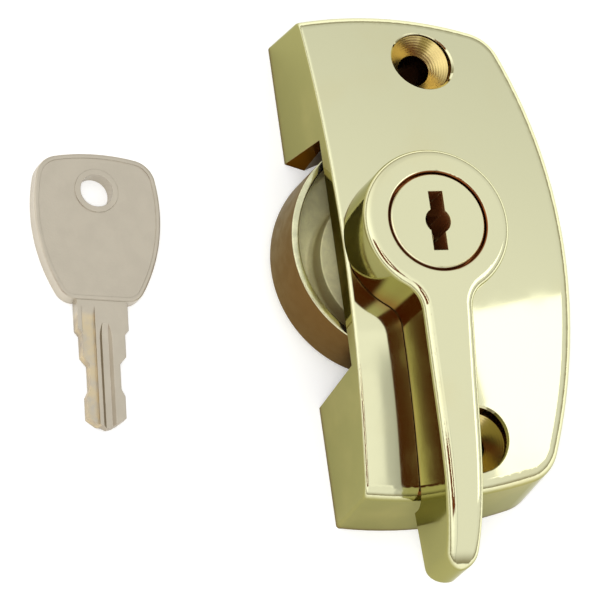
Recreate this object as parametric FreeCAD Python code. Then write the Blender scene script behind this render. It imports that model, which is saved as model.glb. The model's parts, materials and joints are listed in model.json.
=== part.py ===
import FreeCAD, Part
import math
import os

# Key-locking cam fastener for a sliding sash window, with its key lying beside it.
# Millimetres. X runs along the fastener towards the tip of the closed lever, Y from its
# straight front face to its bowed back, Z up out of the face that it is screwed down on.
# The origin lies midway between the two screw holes, on that face. Shapes are drawn about
# the lever's pivot and moved from there at the end.

V = FreeCAD.Vector
ORIGIN = V(0, 0, 0)
UP = V(0, 0, 1)

# Clearances
running_gap = 0.05
bolt_gap = 0.1
washer_gap = 0.1
lever_to_dome_gap = 0.3
clip_recess_gap = 0.3

# How far a cutter reaches past what it cuts
past = 1.0

# Body casting, seen from above
front_to_pivot = 10.6
pivot_to_back = 24.2
pivot_to_screws = 6.26
end_reach = 36.0
end_radius = 62.0
end_centre_y = -2.0
back_radius = 94.0
back_corner_radius = 6.5
wall_draft = 1.0

# Body casting, seen from the side
crown_height = 17.8
crown_radius = 125.0
top_edge_round = 2.3
front_edge_round = 0.5
wall = 2.6
roof = 3.8
end_roof = 2.8
cam_room_ceiling = crown_height - roof

# Screw holes in the body
screw_spacing = 55.5
screw_hole_radius = 2.25
screw_head_radius = 4.4
screw_head_depth = 1.7
screw_cone_depth = 2.2
screw_rim_bevel = 0.3
screw_boss_wall = 2.0

# Mouth in the front face that the cam stands out of
mouth_half_at_base = 18.3
mouth_side_lean = 1.5
mouth_flare = 1.6
mouth_flare_depth = 3.5
mouth_cut_past = 1.0

# Cam: round hub with a crescent channel and a rim that winds outwards
cam_gap = 0.9
cam_spiral_radius = 16.35
cam_spiral_angle = -95.0
cam_spiral_rate = 0.0168
cam_spiral_start = -186.0
cam_spiral_end = 6.0
cam_rim_drop = 1.1
cam_rim_top = cam_room_ceiling - cam_rim_drop
cam_rim_wall = 1.0
cam_rim_thickening = 0.5
cam_floor_top = 5.5
cam_floor_thickness = 2.1
cam_step_radius = 11.0
cam_step_top = 9.2
cam_hub_radius = 10.25
cam_hub_bottom = 1.6
cam_channel_round = 1.1
cam_spiral_steps = 12

# Spring clips
clip_thickness = 0.6
clip_groove_depth = 0.6
clip_width = 1.9
clip_mouth = 4.0

# Spindle below the lever's head
spindle_radius = 8.3
spindle_lower_radius = 7.5
spindle_bottom = 1.2
spindle_flat = 6.2
spindle_end_land = 0.95
cam_clip_height = spindle_bottom + spindle_end_land

# Locking bolt, moved by a spiral groove in the plug's lower end
bolt_half_width = 1.9
bolt_seat = 0.85
bolt_bottom = cam_clip_height + clip_thickness + bolt_seat
bolt_thickness = 2.2
bolt_top = bolt_bottom + bolt_thickness
bolt_tail = 3.0
bolt_tip = 10.0
bolt_throw = 2.4
bolt_pin_radius = 0.7
bolt_pin_start = 2.0
bolt_pin_height = 1.25
bolt_pin_end_gap = 0.15
bolt_groove_steps = 8
key_turn = 90.0

# Lock plug and what it turns in
plug_to_bolt_gap = 0.3
plug_bottom = bolt_top + plug_to_bolt_gap
plug_radius = 5.5
plug_face_radius = 6.85
plug_face_gap = 0.22
plug_face_thickness = 1.9
plug_edge_bevel = 0.2
plug_seat_round = 0.4
keyway_floor = 0.8
keyway_bottom = bolt_top + bolt_pin_height + bolt_pin_end_gap + keyway_floor
keyway_half_height = 4.28
keyway_arm_shift = 0.17
keyway_eye_radius = 1.85
snap_ring_rise = 2.5
snap_ring_height = plug_bottom + snap_ring_rise
snap_ring_depth = 0.5
snap_ring_mouth = 2.0

# Lever: round head and slim blade
head_radius = 10.6
head_height = 8.7
head_top = crown_height + head_height
head_flat_end = 6.5
head_edge_round = 1.15
neck_radius = 4.0
blade_half_width = 4.15
blade_taper = 0.039
blade_reach = 47.0
blade_shoulder_x = 37.0
blade_shoulder_drop = 3.6
blade_crown_near = 0.44
blade_crown_far = 0.48
blade_nose_knees = ((0.52, 0.25), (0.87, 0.6))
blade_nose_lean = 0.2
blade_chin_bulge = 0.9
blade_nose_height = 4.0
blade_tip_bottom = 9.4
blade_heel_length = 3.0
blade_foot_round = 0.4
lever_sweep_radius = 36.7

# Bearing washer under the head, wave washer and clip under the cam room's ceiling
washer_width = 1.45
washer_sink = 0.55
washer_thickness = 1.05
washer_seat = crown_height - washer_sink
washer_top = washer_seat + washer_thickness
wave_room = 1.2
wave_width = 1.3
wave_thickness = 0.3
wave_count = 3
wave_steps = 8
spindle_clip_height = cam_room_ceiling - wave_room - clip_thickness

# Keeper lug inside the body, which the bolt enters and the cam's ends stop against
lug_inner_gap = 0.35
lug_half_width = 2.6
lug_bottom = 1.0
lug_pocket_depth = 0.4
lug_root = 0.5
stop_gap = 0.05

# Key, drawn from the centre of its hole towards its tip, and how it lies beside the body
key_angle = -4.7
key_hole_x = -13.7
key_hole_y = -39.8
key_bow_top = 5.4
key_bow_top_radius = 30.0
key_bow_half = 9.15
key_bow_widest = 3.0
key_bow_side_radius = 24.0
key_bow_top_corner = 3.6
key_bow_low_corner = 2.7
key_bow_shoulder = 16.1
key_bow_thickness = 2.4
key_edge_round = 0.3
key_rim_height = 0.15
key_rim_width = 0.65
key_hole_radius = 2.35
key_hole_rim = 0.8
key_blade_thickness = 2.0
key_shank_half = 3.65
key_shank_end = 20.2
key_tip = 34.5
key_tip_half = 1.4
key_tip_bevel = 0.6
key_cut_halves = (3.08, 2.15, 2.66)
key_cut_starts = (20.9, 25.2, 29.8)
key_cut_ends = (24.1, 28.8, 33.0)
key_groove_depth = 0.45
key_cutter_radius = 6.0
key_side_groove_middle = -2.1
key_side_groove_width = 1.9
key_side_groove_start = 16.9
key_centre_groove_middle = 0.3
key_centre_groove_width = 1.8
key_centre_groove_floor = 0.9
key_centre_groove_start = 19.3
key_tip_gap = 0.1

# Wafers, their slots and springs
wafer_count = 5
wafer_rise = 2.0
wafer_pitch = 2.2
wafer_first = keyway_bottom + wafer_rise
wafer_thickness = 0.8
wafer_half_width = 2.8
wafer_travel = 0.7
wafer_window_play = 0.3
wafer_window_half_width = 1.75
wafer_wing_reach = 4.2
wafer_wing_half = 0.6
wafer_slot_gap = 0.06
wafer_groove_gap = 0.1
wafer_end_gap = 0.15
spring_coil_radius = 0.5
spring_wire_share = 0.45
spring_length = 2.7
spring_gap = 0.02


def polar(radius, degrees, z=0.0):
    """Point at a radius and an angle about the pivot."""
    angle = math.radians(degrees)
    return V(radius * math.cos(angle), radius * math.sin(angle), z)


def same(point):
    """The point itself, for loops over both halves."""
    return point


def other_end(point):
    """The same point on the fastener's other end."""
    return V(-point.x, point.y, point.z)


def other_side(point):
    """The same point on the other side of a long piece."""
    return V(point.x, -point.y, point.z)


def line(start, end):
    """Straight edge."""
    return Part.LineSegment(start, end).toShape()


def arc(start, through, end):
    """Arc through three points."""
    return Part.Arc(start, through, end).toShape()


def arc_about(centre, start, end):
    """Shorter arc from start to end about a centre."""
    middle = (start + end) * 0.5 - centre
    radius = (start - centre).Length
    return arc(start, centre + middle * (radius / middle.Length), end)


def joined(edges):
    """Closed wire from edges in any order."""
    return Part.Wire(Part.__sortEdges__(edges))


def prism(edges, z_low, z_high):
    """Upright solid on a closed outline drawn at z = 0."""
    face = Part.Face(joined(edges))
    face.translate(V(0, 0, z_low))
    return face.extrude(V(0, 0, z_high - z_low))


def rod(radius, z_low, z_high):
    """Upright cylinder about the pivot."""
    return Part.makeCylinder(radius, z_high - z_low, V(0, 0, z_low))


def ring(outer, inner, z_low, z_high):
    """Upright ring about the pivot."""
    return rod(outer, z_low, z_high).cut(rod(inner, z_low, z_high))


def block(x_low, x_high, y_low, y_high, z_low, z_high):
    """Box between two corners."""
    size = V(x_high - x_low, y_high - y_low, z_high - z_low)
    return Part.makeBox(size.x, size.y, size.z, V(x_low, y_low, z_low))


def circles_meet(centre_a, radius_a, centre_b, radius_b):
    """Meeting point of two circles, the one with the larger X."""
    gap = centre_b - centre_a
    span = gap.Length
    along = (span * span + radius_a * radius_a - radius_b * radius_b) / (2 * span)
    across = math.sqrt(radius_a * radius_a - along * along)
    unit = gap * (1 / span)
    side = V(-unit.y, unit.x, 0)
    base = centre_a + unit * along
    return max(base + side * across, base - side * across, key=lambda p: p.x)


def toward(centre, through, radius):
    """Point on a circle, in the direction of another point."""
    step = through - centre
    return centre + step * (radius / step.Length)


def border_edges(faces):
    """Edges round a patch of faces, without the ones between them."""
    edges = [edge for face in faces for edge in face.Edges]
    return [edge for edge in edges if sum(edge.isSame(other) for other in edges) == 1]


def faces_up(solid):
    """Faces of a solid that look more upwards than sideways."""
    found = []
    for face in solid.Faces:
        low_u, high_u, low_v, high_v = face.ParameterRange
        if face.normalAt((low_u + high_u) / 2, (low_v + high_v) / 2).z > 0.5:
            found.append(face)
    return found


def body_outline(inset, front_y):
    """Outline of the body, with its ends and back moved in by an inset."""
    end_centre = V(end_reach - end_radius, end_centre_y, 0)
    end_r = end_radius - inset
    back_centre = V(0, pivot_to_back - back_radius, 0)
    back_r = back_radius - inset
    corner_r = back_corner_radius - inset
    corner = circles_meet(end_centre, end_r - corner_r, back_centre, back_r - corner_r)
    back_point = toward(back_centre, corner, back_r)
    end_point = toward(end_centre, corner, end_r)
    front_x = end_centre.x + math.sqrt(end_r ** 2 - (front_y - end_centre.y) ** 2)
    front_point = V(front_x, front_y, 0)
    edges = [line(other_end(front_point), front_point)]
    edges.append(arc_about(back_centre, back_point, other_end(back_point)))
    for flip in (same, other_end):
        edges.append(arc_about(flip(end_centre), flip(front_point), flip(end_point)))
        edges.append(arc_about(flip(corner), flip(end_point), flip(back_point)))
    return edges


def dome(radius):
    """Ball that rounds the top of the body, centred below the pivot."""
    return Part.makeSphere(radius, V(0, 0, crown_height - crown_radius))


def dome_height(distance):
    """Height of the body's top at a distance from the pivot."""
    return crown_height - crown_radius + math.sqrt(crown_radius ** 2 - distance ** 2)


def body_block():
    """Outside of the body: leaning walls, domed top and rounded edges."""
    front_y = -front_to_pivot
    wires = []
    for inset, z in ((0.0, 0.0), (wall_draft, crown_height)):
        wire = joined(body_outline(inset, front_y))
        wire.translate(V(0, 0, z))
        wires.append(wire)
    solid = Part.makeLoft(wires, True, True).common(dome(crown_radius))
    crown = max(solid.Faces, key=lambda f: f.CenterOfMass.z)
    soft_edges = [e for e in crown.Edges if e.BoundBox.YMax > front_y + running_gap]
    solid = solid.makeFillet(top_edge_round, soft_edges)
    front = min(solid.Faces, key=lambda f: f.CenterOfMass.y)
    ridge = [e for e in front.Edges if e.BoundBox.ZMax > running_gap]
    return solid.makeFillet(front_edge_round, ridge)


def cam_radius_at(degrees):
    """Outer radius of the cam's rim: it winds outwards towards its tail."""
    return cam_spiral_radius - cam_spiral_rate * (degrees - cam_spiral_angle)


def cam_room_radius():
    """Radius of the round room that the cam turns in."""
    return cam_radius_at(-180.0) + cam_gap


def cam_room():
    """Round room for the cam, with a flared mouth through the front face."""
    room = rod(cam_room_radius(), -past, cam_room_ceiling)
    wires = []
    for depth, shrink in ((-mouth_cut_past, 0.0), (mouth_flare_depth, mouth_flare)):
        low = mouth_half_at_base - shrink
        high = low - mouth_side_lean
        y = -front_to_pivot + depth
        corners = [V(-low, y, 0), V(low, y, 0), V(high, y, cam_room_ceiling)]
        corners.append(V(-high, y, cam_room_ceiling))
        wires.append(Part.makePolygon(corners + corners[:1]))
    mouth = Part.makeLoft(wires, True, True)
    deep = mouth_half_at_base - mouth_flare - mouth_side_lean
    y_low = -front_to_pivot + mouth_flare_depth
    return room.fuse([mouth, block(-deep, deep, y_low, 0, -past, cam_room_ceiling)])


def screw_place(side):
    """Centre of one screw hole, on the base."""
    return V(side * screw_spacing / 2, pivot_to_screws, 0)


def end_room(side):
    """Hollow at one end of the casting, open below, round the screw boss."""
    edges = body_outline(wall + wall_draft, wall - front_to_pivot)
    room = prism(edges, -past, crown_height).common(dome(crown_radius - end_roof))
    boss_radius = screw_head_radius + screw_boss_wall
    boss_foot = screw_place(side) - UP * past
    boss = Part.makeCylinder(boss_radius, crown_height + past, boss_foot)
    ring_radius = cam_room_radius() + wall
    room = room.cut([boss, rod(ring_radius, -past, crown_height)])
    front_inner = mouth_half_at_base + wall
    zone = block(ring_radius / 2, end_reach, 0, pivot_to_back, -past, crown_height)
    zone = zone.fuse(block(front_inner, end_reach, -front_to_pivot, 0, -past, crown_height))
    if side < 0:
        zone = zone.mirror(ORIGIN, V(1, 0, 0))
    return room.common(zone)


def screw_cut(side):
    """Stepped and countersunk hole for one fixing screw, its rim bevelled square to the dome."""
    centre = screw_place(side)
    shoulder = dome_height(centre.Length) - screw_head_depth
    shank = Part.makeCylinder(screw_hole_radius, crown_height, centre - UP * past)
    head = Part.makeCylinder(screw_head_radius, crown_height, centre + UP * shoulder)
    cone = Part.makeCone(
        screw_hole_radius, screw_head_radius, screw_cone_depth,
        centre + UP * (shoulder - screw_cone_depth)
    )
    dome_centre = UP * (crown_height - crown_radius)
    outward = centre + UP * dome_height(centre.Length) - dome_centre
    outward.normalize()
    rim_radius = screw_head_radius + screw_rim_bevel
    rim_height = crown_radius - rim_radius ** 2 / (2 * crown_radius)
    rim = Part.makeCone(
        0, rim_radius + past, rim_radius + past,
        dome_centre + outward * (rim_height - rim_radius), outward
    )
    return shank.fuse([cone, head, rim])


def bolt_passage(x_low, x_high):
    """Straight slot with running room for the bolt."""
    half = bolt_half_width + bolt_gap
    return block(x_low, x_high, -half, half, bolt_bottom - bolt_gap, bolt_top + bolt_gap)


def keeper_lug():
    """Block on the cam room's wall that holds the thrown bolt and stops the cam."""
    outer = cam_room_radius() + lug_root
    top = cam_room_ceiling + lug_root
    lug = block(-outer, 0, -lug_half_width, lug_half_width, lug_bottom, top)
    pocket = bolt_passage(-bolt_tip - bolt_throw - lug_pocket_depth, 0)
    return lug.cut([rod(cam_hub_radius + lug_inner_gap, 0, crown_height), pocket])


def body_casting():
    """Domed casting with its cam room, keeper lug, hollow ends and screw holes."""
    body = body_block().cut([screw_cut(side) for side in (-1, 1)])
    body = body.cut([cam_room()] + [end_room(side) for side in (-1, 1)])
    body = body.fuse(keeper_lug())
    bore = rod(spindle_radius + running_gap, cam_room_ceiling - past, crown_height + past)
    seat_radius = spindle_radius + 2 * washer_gap + washer_width
    seat = rod(seat_radius, washer_seat, crown_height + past)
    return body.cut([bore, seat]).removeSplitter()


def spiral_wire(inset, z):
    """Outline between the rim's curve, moved in by an inset, and the pivot."""
    sweep = cam_spiral_end - cam_spiral_start
    points = []
    for i in range(cam_spiral_steps + 1):
        degrees = cam_spiral_start + sweep * i / cam_spiral_steps
        points.append(polar(cam_radius_at(degrees) - inset, degrees, z))
    curve = Part.BSplineCurve()
    curve.interpolate(points)
    centre = V(0, 0, z)
    return joined([curve.toShape(), line(centre, points[0]), line(points[-1], centre)])


def cam_bore_cuts():
    """Round and flatted hole for the spindle, bolt passage and clip recess."""
    fit = spindle_lower_radius + running_gap
    flat = spindle_flat + running_gap
    lower = rod(fit, 0, crown_height).common(block(-fit, fit, -flat, flat, 0, crown_height))
    recess_radius = spindle_lower_radius - clip_groove_depth + clip_width + clip_recess_gap
    recess = rod(recess_radius, 0, cam_clip_height + clip_thickness + running_gap)
    upper = rod(fit, plug_bottom - running_gap, crown_height)
    return [upper, lower, bolt_passage(-cam_hub_radius - past, 0), recess]


def cam_channel_fillet():
    """Round along the channel's floor, held to what fits where the channel is narrowest."""
    narrowest = cam_radius_at(0.0) - cam_rim_wall - cam_rim_thickening - cam_step_radius
    return min(cam_channel_round, (narrowest - running_gap) / 2)


def cam_crescent():
    """Hub with a half-ring channel behind a rim that winds outwards."""
    floor_bottom = cam_floor_top - cam_floor_thickness
    bowl = Part.Face(spiral_wire(0.0, floor_bottom)).extrude(V(0, 0, cam_rim_top - floor_bottom))
    low = spiral_wire(cam_rim_wall + cam_rim_thickening, cam_floor_top)
    high = spiral_wire(cam_rim_wall, cam_rim_top + past)
    hollow = Part.makeLoft([low, high], True, True)
    hollow = hollow.cut(rod(cam_step_radius, cam_floor_top - past, cam_step_top))
    above_step = rod(cam_step_radius, cam_step_top, crown_height)
    reach = 2 * cam_spiral_radius
    half_disc = block(-reach, reach, -reach, -lug_half_width - stop_gap, 0, crown_height)
    crescent = bowl.cut([hollow, above_step]).common(half_disc)
    channel_corners = []
    for edge in crescent.Edges:
        box = edge.BoundBox
        level = box.ZLength < running_gap and abs(box.ZMin - cam_floor_top) < running_gap
        if level and box.XLength > cam_step_radius:
            channel_corners.append(edge)
    crescent = crescent.makeFillet(cam_channel_fillet(), channel_corners)
    cam = crescent.fuse(rod(cam_hub_radius, cam_hub_bottom, cam_step_top))
    return cam.cut(cam_bore_cuts()).removeSplitter()


def lever_outline():
    """Plan of the lever: round head, concave neck and tapering blade with a round tip."""
    normal = V(blade_taper, 1, 0)
    normal.normalize()
    along = V(normal.y, -normal.x, 0)
    offset = blade_half_width * normal.y
    radius = head_radius + neck_radius
    across = offset + neck_radius
    centre = normal * across + along * math.sqrt(radius ** 2 - across ** 2)
    on_head = toward(ORIGIN, centre, head_radius)
    on_blade = centre - normal * neck_radius
    tip_radius = (offset - normal.x * blade_reach) / (1 - normal.x)
    on_tip = V(blade_reach - tip_radius, 0, 0) + normal * tip_radius
    edges = [arc(on_head, V(-head_radius, 0, 0), other_side(on_head))]
    edges.append(arc(on_tip, V(blade_reach, 0, 0), other_side(on_tip)))
    for flip in (same, other_side):
        edges.append(arc_about(flip(centre), flip(on_head), flip(on_blade)))
        edges.append(line(flip(on_blade), flip(on_tip)))
    return edges


def lever_profile():
    """Side view of the lever: level head, falling blade top and rounded nose."""
    low = blade_tip_bottom
    back = -head_radius - past
    level_end = V(head_flat_end, 0, head_top)
    shoulder = V(blade_shoulder_x, 0, head_top - blade_shoulder_drop)
    nose = V(blade_reach + past, 0, low + blade_nose_height)
    heel = V(blade_reach - blade_heel_length, 0, low)
    third = (shoulder - level_end) * (1 / 3)
    fall = nose - shoulder
    points = [level_end, level_end + third + UP * blade_crown_near]
    points += [shoulder - third + UP * blade_crown_far, shoulder]
    for along, down in blade_nose_knees:
        points.append(shoulder + V(fall.x * along, 0, fall.z * down))
    top = Part.BSplineCurve()
    top.interpolate(
        points + [nose], InitialTangent=V(1, 0, 0), FinalTangent=V(blade_nose_lean, 0, -1)
    )
    bulge = V(blade_chin_bulge, 0, -blade_chin_bulge)
    chin = arc(nose, nose + (heel - nose) * 0.5 + bulge, heel)
    corners = [heel, V(back, 0, low), V(back, 0, head_top), level_end]
    edges = [top.toShape(), chin] + [line(a, b) for a, b in zip(corners, corners[1:])]
    face = Part.Face(joined(edges))
    face.translate(V(0, back, 0))
    return face.extrude(V(0, -2 * back, 0))


def sweep_room():
    """Space that the lever must stay clear of as it swings over the body."""
    room = rod(lever_sweep_radius, 0, crown_height + lever_to_dome_gap)
    room = room.common(dome(crown_radius + lever_to_dome_gap))
    crown = max(room.Faces, key=lambda f: f.CenterOfMass.z)
    return room.makeFillet(top_edge_round + lever_to_dome_gap, crown.Edges)


def clip_groove(height):
    """Groove round the spindle for a spring clip."""
    floor = spindle_lower_radius - clip_groove_depth
    top = height + clip_thickness + running_gap
    return ring(spindle_radius + past, floor, height - running_gap, top)


def spindle():
    """Spindle below the head, with flats for the cam and grooves for the clips."""
    upper = rod(spindle_radius, cam_room_ceiling, head_top - plug_face_thickness)
    lower = rod(spindle_lower_radius, plug_bottom, cam_room_ceiling)
    foot = rod(spindle_lower_radius, spindle_bottom, plug_bottom)
    half = spindle_lower_radius
    foot = foot.common(block(-half, half, -spindle_flat, spindle_flat, 0, plug_bottom))
    grooves = [clip_groove(height) for height in (spindle_clip_height, cam_clip_height)]
    return upper.fuse([lower, foot]).cut(grooves)


def plug_bore():
    """Stepped bore for the plug, with its wafer grooves and snap ring groove."""
    above = head_top + past
    bore = rod(plug_radius + running_gap, plug_bottom - running_gap, above)
    face_floor = head_top - plug_face_thickness - running_gap
    face_radius = plug_face_radius + plug_face_gap
    face = rod(face_radius, face_floor, above)
    soft_radius = face_radius + plug_seat_round
    soft_floor = head_top - plug_seat_round
    soft = rod(soft_radius, soft_floor, above)
    soft = soft.cut(Part.makeTorus(soft_radius, plug_seat_round, UP * soft_floor))
    snap_top = snap_ring_height + clip_thickness + running_gap
    snap = rod(plug_radius + snap_ring_depth + washer_gap, snap_ring_height - running_gap, snap_top)
    reach = plug_radius + wafer_travel + wafer_end_gap
    half = wafer_half_width + wafer_groove_gap
    low = wafer_first - wafer_end_gap
    cross = block(-reach, reach, -half, half, low, face_floor)
    cross = cross.fuse(block(-half, half, -reach, reach, low, face_floor))
    return bore.fuse([face, soft, snap, cross.common(rod(reach, low, face_floor))])


def bolt_channel():
    """Slot across the spindle's foot that guides the bolt, with a notch for its pin."""
    out = spindle_lower_radius + past
    pin_half = bolt_pin_radius + bolt_gap
    pin_top = bolt_top + bolt_pin_height + bolt_gap
    notch = block(-out, 0, -pin_half, pin_half, bolt_bottom, pin_top)
    return bolt_passage(-out, bolt_tail + bolt_gap).fuse(notch)


def lever_handle():
    """Lever casting: head, blade and spindle in one, bored for the lock plug."""
    shell = prism(lever_outline(), 0, head_top + past).common(lever_profile())
    shell = shell.makeFillet(head_edge_round, border_edges(faces_up(shell)))
    shell = shell.cut(sweep_room())
    foot_top = blade_tip_bottom + blade_foot_round
    underside = [e for e in shell.Edges if e.BoundBox.ZMax < foot_top]
    shell = shell.makeFillet(blade_foot_round, underside)
    washer_reach = spindle_radius + 2 * washer_gap + washer_width
    washer_recess = ring(washer_reach, spindle_radius, 0, washer_top + running_gap)
    lever = shell.cut(washer_recess).fuse(spindle())
    return lever.cut([plug_bore(), bolt_channel()]).removeSplitter()


def open_ring(inner, outer, mouth, z_low, direction):
    """Spring clip: a flat ring with a gap in it."""
    clip = ring(outer, inner, z_low, z_low + clip_thickness)
    gap = block(0, 2 * outer, -mouth / 2, mouth / 2, z_low - past, z_low + clip_thickness + past)
    gap.rotate(ORIGIN, UP, direction)
    return clip.cut(gap)


def spring_clip(height, direction):
    """Clip in one of the spindle's grooves."""
    inner = spindle_lower_radius - clip_groove_depth + running_gap
    return open_ring(inner, inner + clip_width, clip_mouth, height, direction)


def plug_snap_ring():
    """Ring that springs out into the bore's groove and holds the plug in."""
    inner = plug_radius - snap_ring_depth + running_gap
    outer = plug_radius + snap_ring_depth
    return open_ring(inner, outer, snap_ring_mouth, snap_ring_height, 90)


def bearing_washer():
    """Plain slip washer between the lever's head and the body."""
    inner = spindle_radius + washer_gap
    return ring(inner + washer_width, inner, washer_seat, washer_top)


def wave_line(radius, z, swing):
    """Closed curve that rises and falls as it goes round."""
    steps = wave_count * wave_steps
    points = []
    for i in range(steps):
        degrees = 360.0 * i / steps
        rise = swing * math.cos(math.radians(wave_count * degrees))
        points.append(polar(radius, degrees, z + rise))
    curve = Part.BSplineCurve()
    curve.interpolate(points, PeriodicFlag=True)
    return curve.toShape()


def wave_washer():
    """Wavy spring washer between the upper clip and the cam room's ceiling."""
    low = spindle_clip_height + clip_thickness + running_gap
    high = cam_room_ceiling - running_gap
    swing = (high - low - wave_thickness) / 2
    inner = spindle_lower_radius + washer_gap
    corners = []
    for radius, level in ((inner, 0), (inner + wave_width, 0), (inner + wave_width, 1), (inner, 1)):
        corners.append(wave_line(radius, low + swing + level * wave_thickness, swing))
    faces = []
    for first, second in zip(corners, corners[1:] + corners[:1]):
        faces += Part.makeRuledSurface(first, second).Faces
    solid = Part.Solid(Part.Shell(faces))
    if solid.Volume < 0:
        solid.reverse()
    return solid


def keyway():
    """Tall slot with a round eye and slightly staggered arms, as seen in the plug's face."""
    half = key_blade_thickness / 2 + running_gap
    high = head_top + past
    cuts = []
    for side in (-1, 1):
        middle = -side * keyway_arm_shift
        start, end = sorted((0, side * keyway_half_height))
        cuts.append(block(start, end, middle - half, middle + half, keyway_bottom, high))
    return rod(keyway_eye_radius, keyway_bottom, high).fuse(cuts)


def wafer_side(index):
    """Wafers are sprung to one side and the other by turns."""
    return 1 if index % 2 == 0 else -1


def wafer_height(index):
    """Height of one wafer's underside."""
    return wafer_first + index * wafer_pitch


def spring_body(index, radius, grow):
    """Round space of one wafer spring, from the wing back along the slot."""
    side = wafer_side(index)
    middle = wafer_height(index) + wafer_thickness / 2
    y = (wafer_half_width + wafer_wing_reach) / 2
    start = V(-side * (wafer_wing_half + spring_gap - grow), y, middle)
    return Part.makeCylinder(radius, spring_length + 2 * grow, start, V(-side, 0, 0))


def wafer_spring(index):
    """Small spring, drawn at its pressed length as a plain hollow coil body."""
    wire = spring_coil_radius * spring_wire_share
    return spring_body(index, spring_coil_radius, 0).cut(spring_body(index, spring_coil_radius - wire, 0))


def wafer_slot(index):
    """Slot through the plug for one wafer, with room for its wing and spring."""
    side = wafer_side(index)
    low = wafer_height(index) - wafer_slot_gap
    high = low + wafer_thickness + 2 * wafer_slot_gap
    half = wafer_half_width + wafer_slot_gap
    reach = plug_radius + past
    slot = block(-reach, reach, -half, half, low, high)
    behind = wafer_wing_half + spring_length + 2 * spring_gap
    ahead = wafer_wing_half + wafer_travel + wafer_slot_gap
    start, end = sorted((-side * behind, side * ahead))
    wing = block(start, end, 0, wafer_wing_reach + wafer_slot_gap, low, high)
    return slot.fuse([wing, spring_body(index, spring_coil_radius + wafer_slot_gap, spring_gap)])


def key_half_at(place):
    """Half height of the key's blade at a distance from its hole's centre."""
    for start, end, half in zip(key_cut_starts, key_cut_ends, key_cut_halves):
        if start <= place <= end:
            return half
    return key_shank_half


def wafer(index):
    """Thin plate with a wing for its spring and a window whose end rests on the key.

    The window is tall enough for the widest of the key's cuts to be pushed through it.
    """
    side = wafer_side(index)
    low = wafer_height(index)
    high = low + wafer_thickness
    half = wafer_half_width
    reach = plug_radius - running_gap
    plate = rod(reach, low, high).common(block(-reach, reach, -half, half, low, high))
    wing = block(-wafer_wing_half, wafer_wing_half, 0, wafer_wing_reach, low, high)
    place = key_tip - (low + wafer_thickness / 2 - keyway_bottom - key_tip_gap)
    rest = key_half_at(place) + running_gap
    clear = 2 * max(key_cut_halves) + wafer_window_play - rest
    start, end = sorted((-side * rest, side * clear))
    wide = wafer_window_half_width
    window = block(start, end, -wide, wide, low - past, high + past)
    return plate.fuse(wing).cut(window).removeSplitter()


def bolt_groove():
    """Spiral groove in the plug's lower end: it pushes the bolt's pin outwards evenly."""
    half = bolt_pin_radius + bolt_gap
    depth = bolt_top + bolt_pin_height + bolt_pin_end_gap - plug_bottom
    rails = {-1: [], 1: []}
    for i in range(bolt_groove_steps + 1):
        share = i / bolt_groove_steps
        radius = bolt_pin_start + bolt_throw * share
        degrees = 180.0 + key_turn * share
        place = polar(radius, degrees, plug_bottom)
        travel = polar(bolt_throw, degrees) + polar(radius * math.radians(key_turn), degrees + 90)
        travel.normalize()
        for side in (-1, 1):
            rails[side].append(place + V(-travel.y, travel.x, 0) * (side * half))
    edges = []
    for side in (-1, 1):
        curve = Part.BSplineCurve()
        curve.interpolate(rails[side])
        edges.append(curve.toShape())
    for end, sign in ((0, -1), (-1, 1)):
        first, second = rails[-1][end], rails[1][end]
        across = (second - first) * 0.5
        beyond = V(across.y, -across.x, 0) * sign
        edges.append(arc(first, first + across + beyond, second))
    return Part.Face(joined(edges)).extrude(V(0, 0, depth))


def lock_plug():
    """Plug with its round face, keyway, wafer slots and spiral groove."""
    face = rod(plug_face_radius, head_top - plug_face_thickness, head_top)
    face_rim = [e for e in face.Edges if e.BoundBox.ZMin > head_top - running_gap]
    plug = rod(plug_radius, plug_bottom, head_top - plug_face_thickness)
    plug = plug.fuse(face.makeChamfer(plug_edge_bevel, face_rim))
    snap_floor = plug_radius - snap_ring_depth
    snap_top = snap_ring_height + clip_thickness + running_gap
    snap = ring(plug_radius + past, snap_floor, snap_ring_height - running_gap, snap_top)
    slots = [wafer_slot(i) for i in range(wafer_count)]
    return plug.cut([keyway(), snap, bolt_groove()] + slots).removeSplitter()


def locking_bolt():
    """Flat bolt with a rounded nose and the pin that follows the spiral groove."""
    half = bolt_half_width
    bar = block(-bolt_tip, bolt_tail, -half, half, bolt_bottom, bolt_top)
    bar = bar.common(rod(bolt_tip, bolt_bottom, bolt_top))
    pin_foot = V(-bolt_pin_start, 0, bolt_bottom)
    pin = Part.makeCylinder(bolt_pin_radius, bolt_thickness + bolt_pin_height, pin_foot)
    return bar.fuse(pin).removeSplitter()


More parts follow.
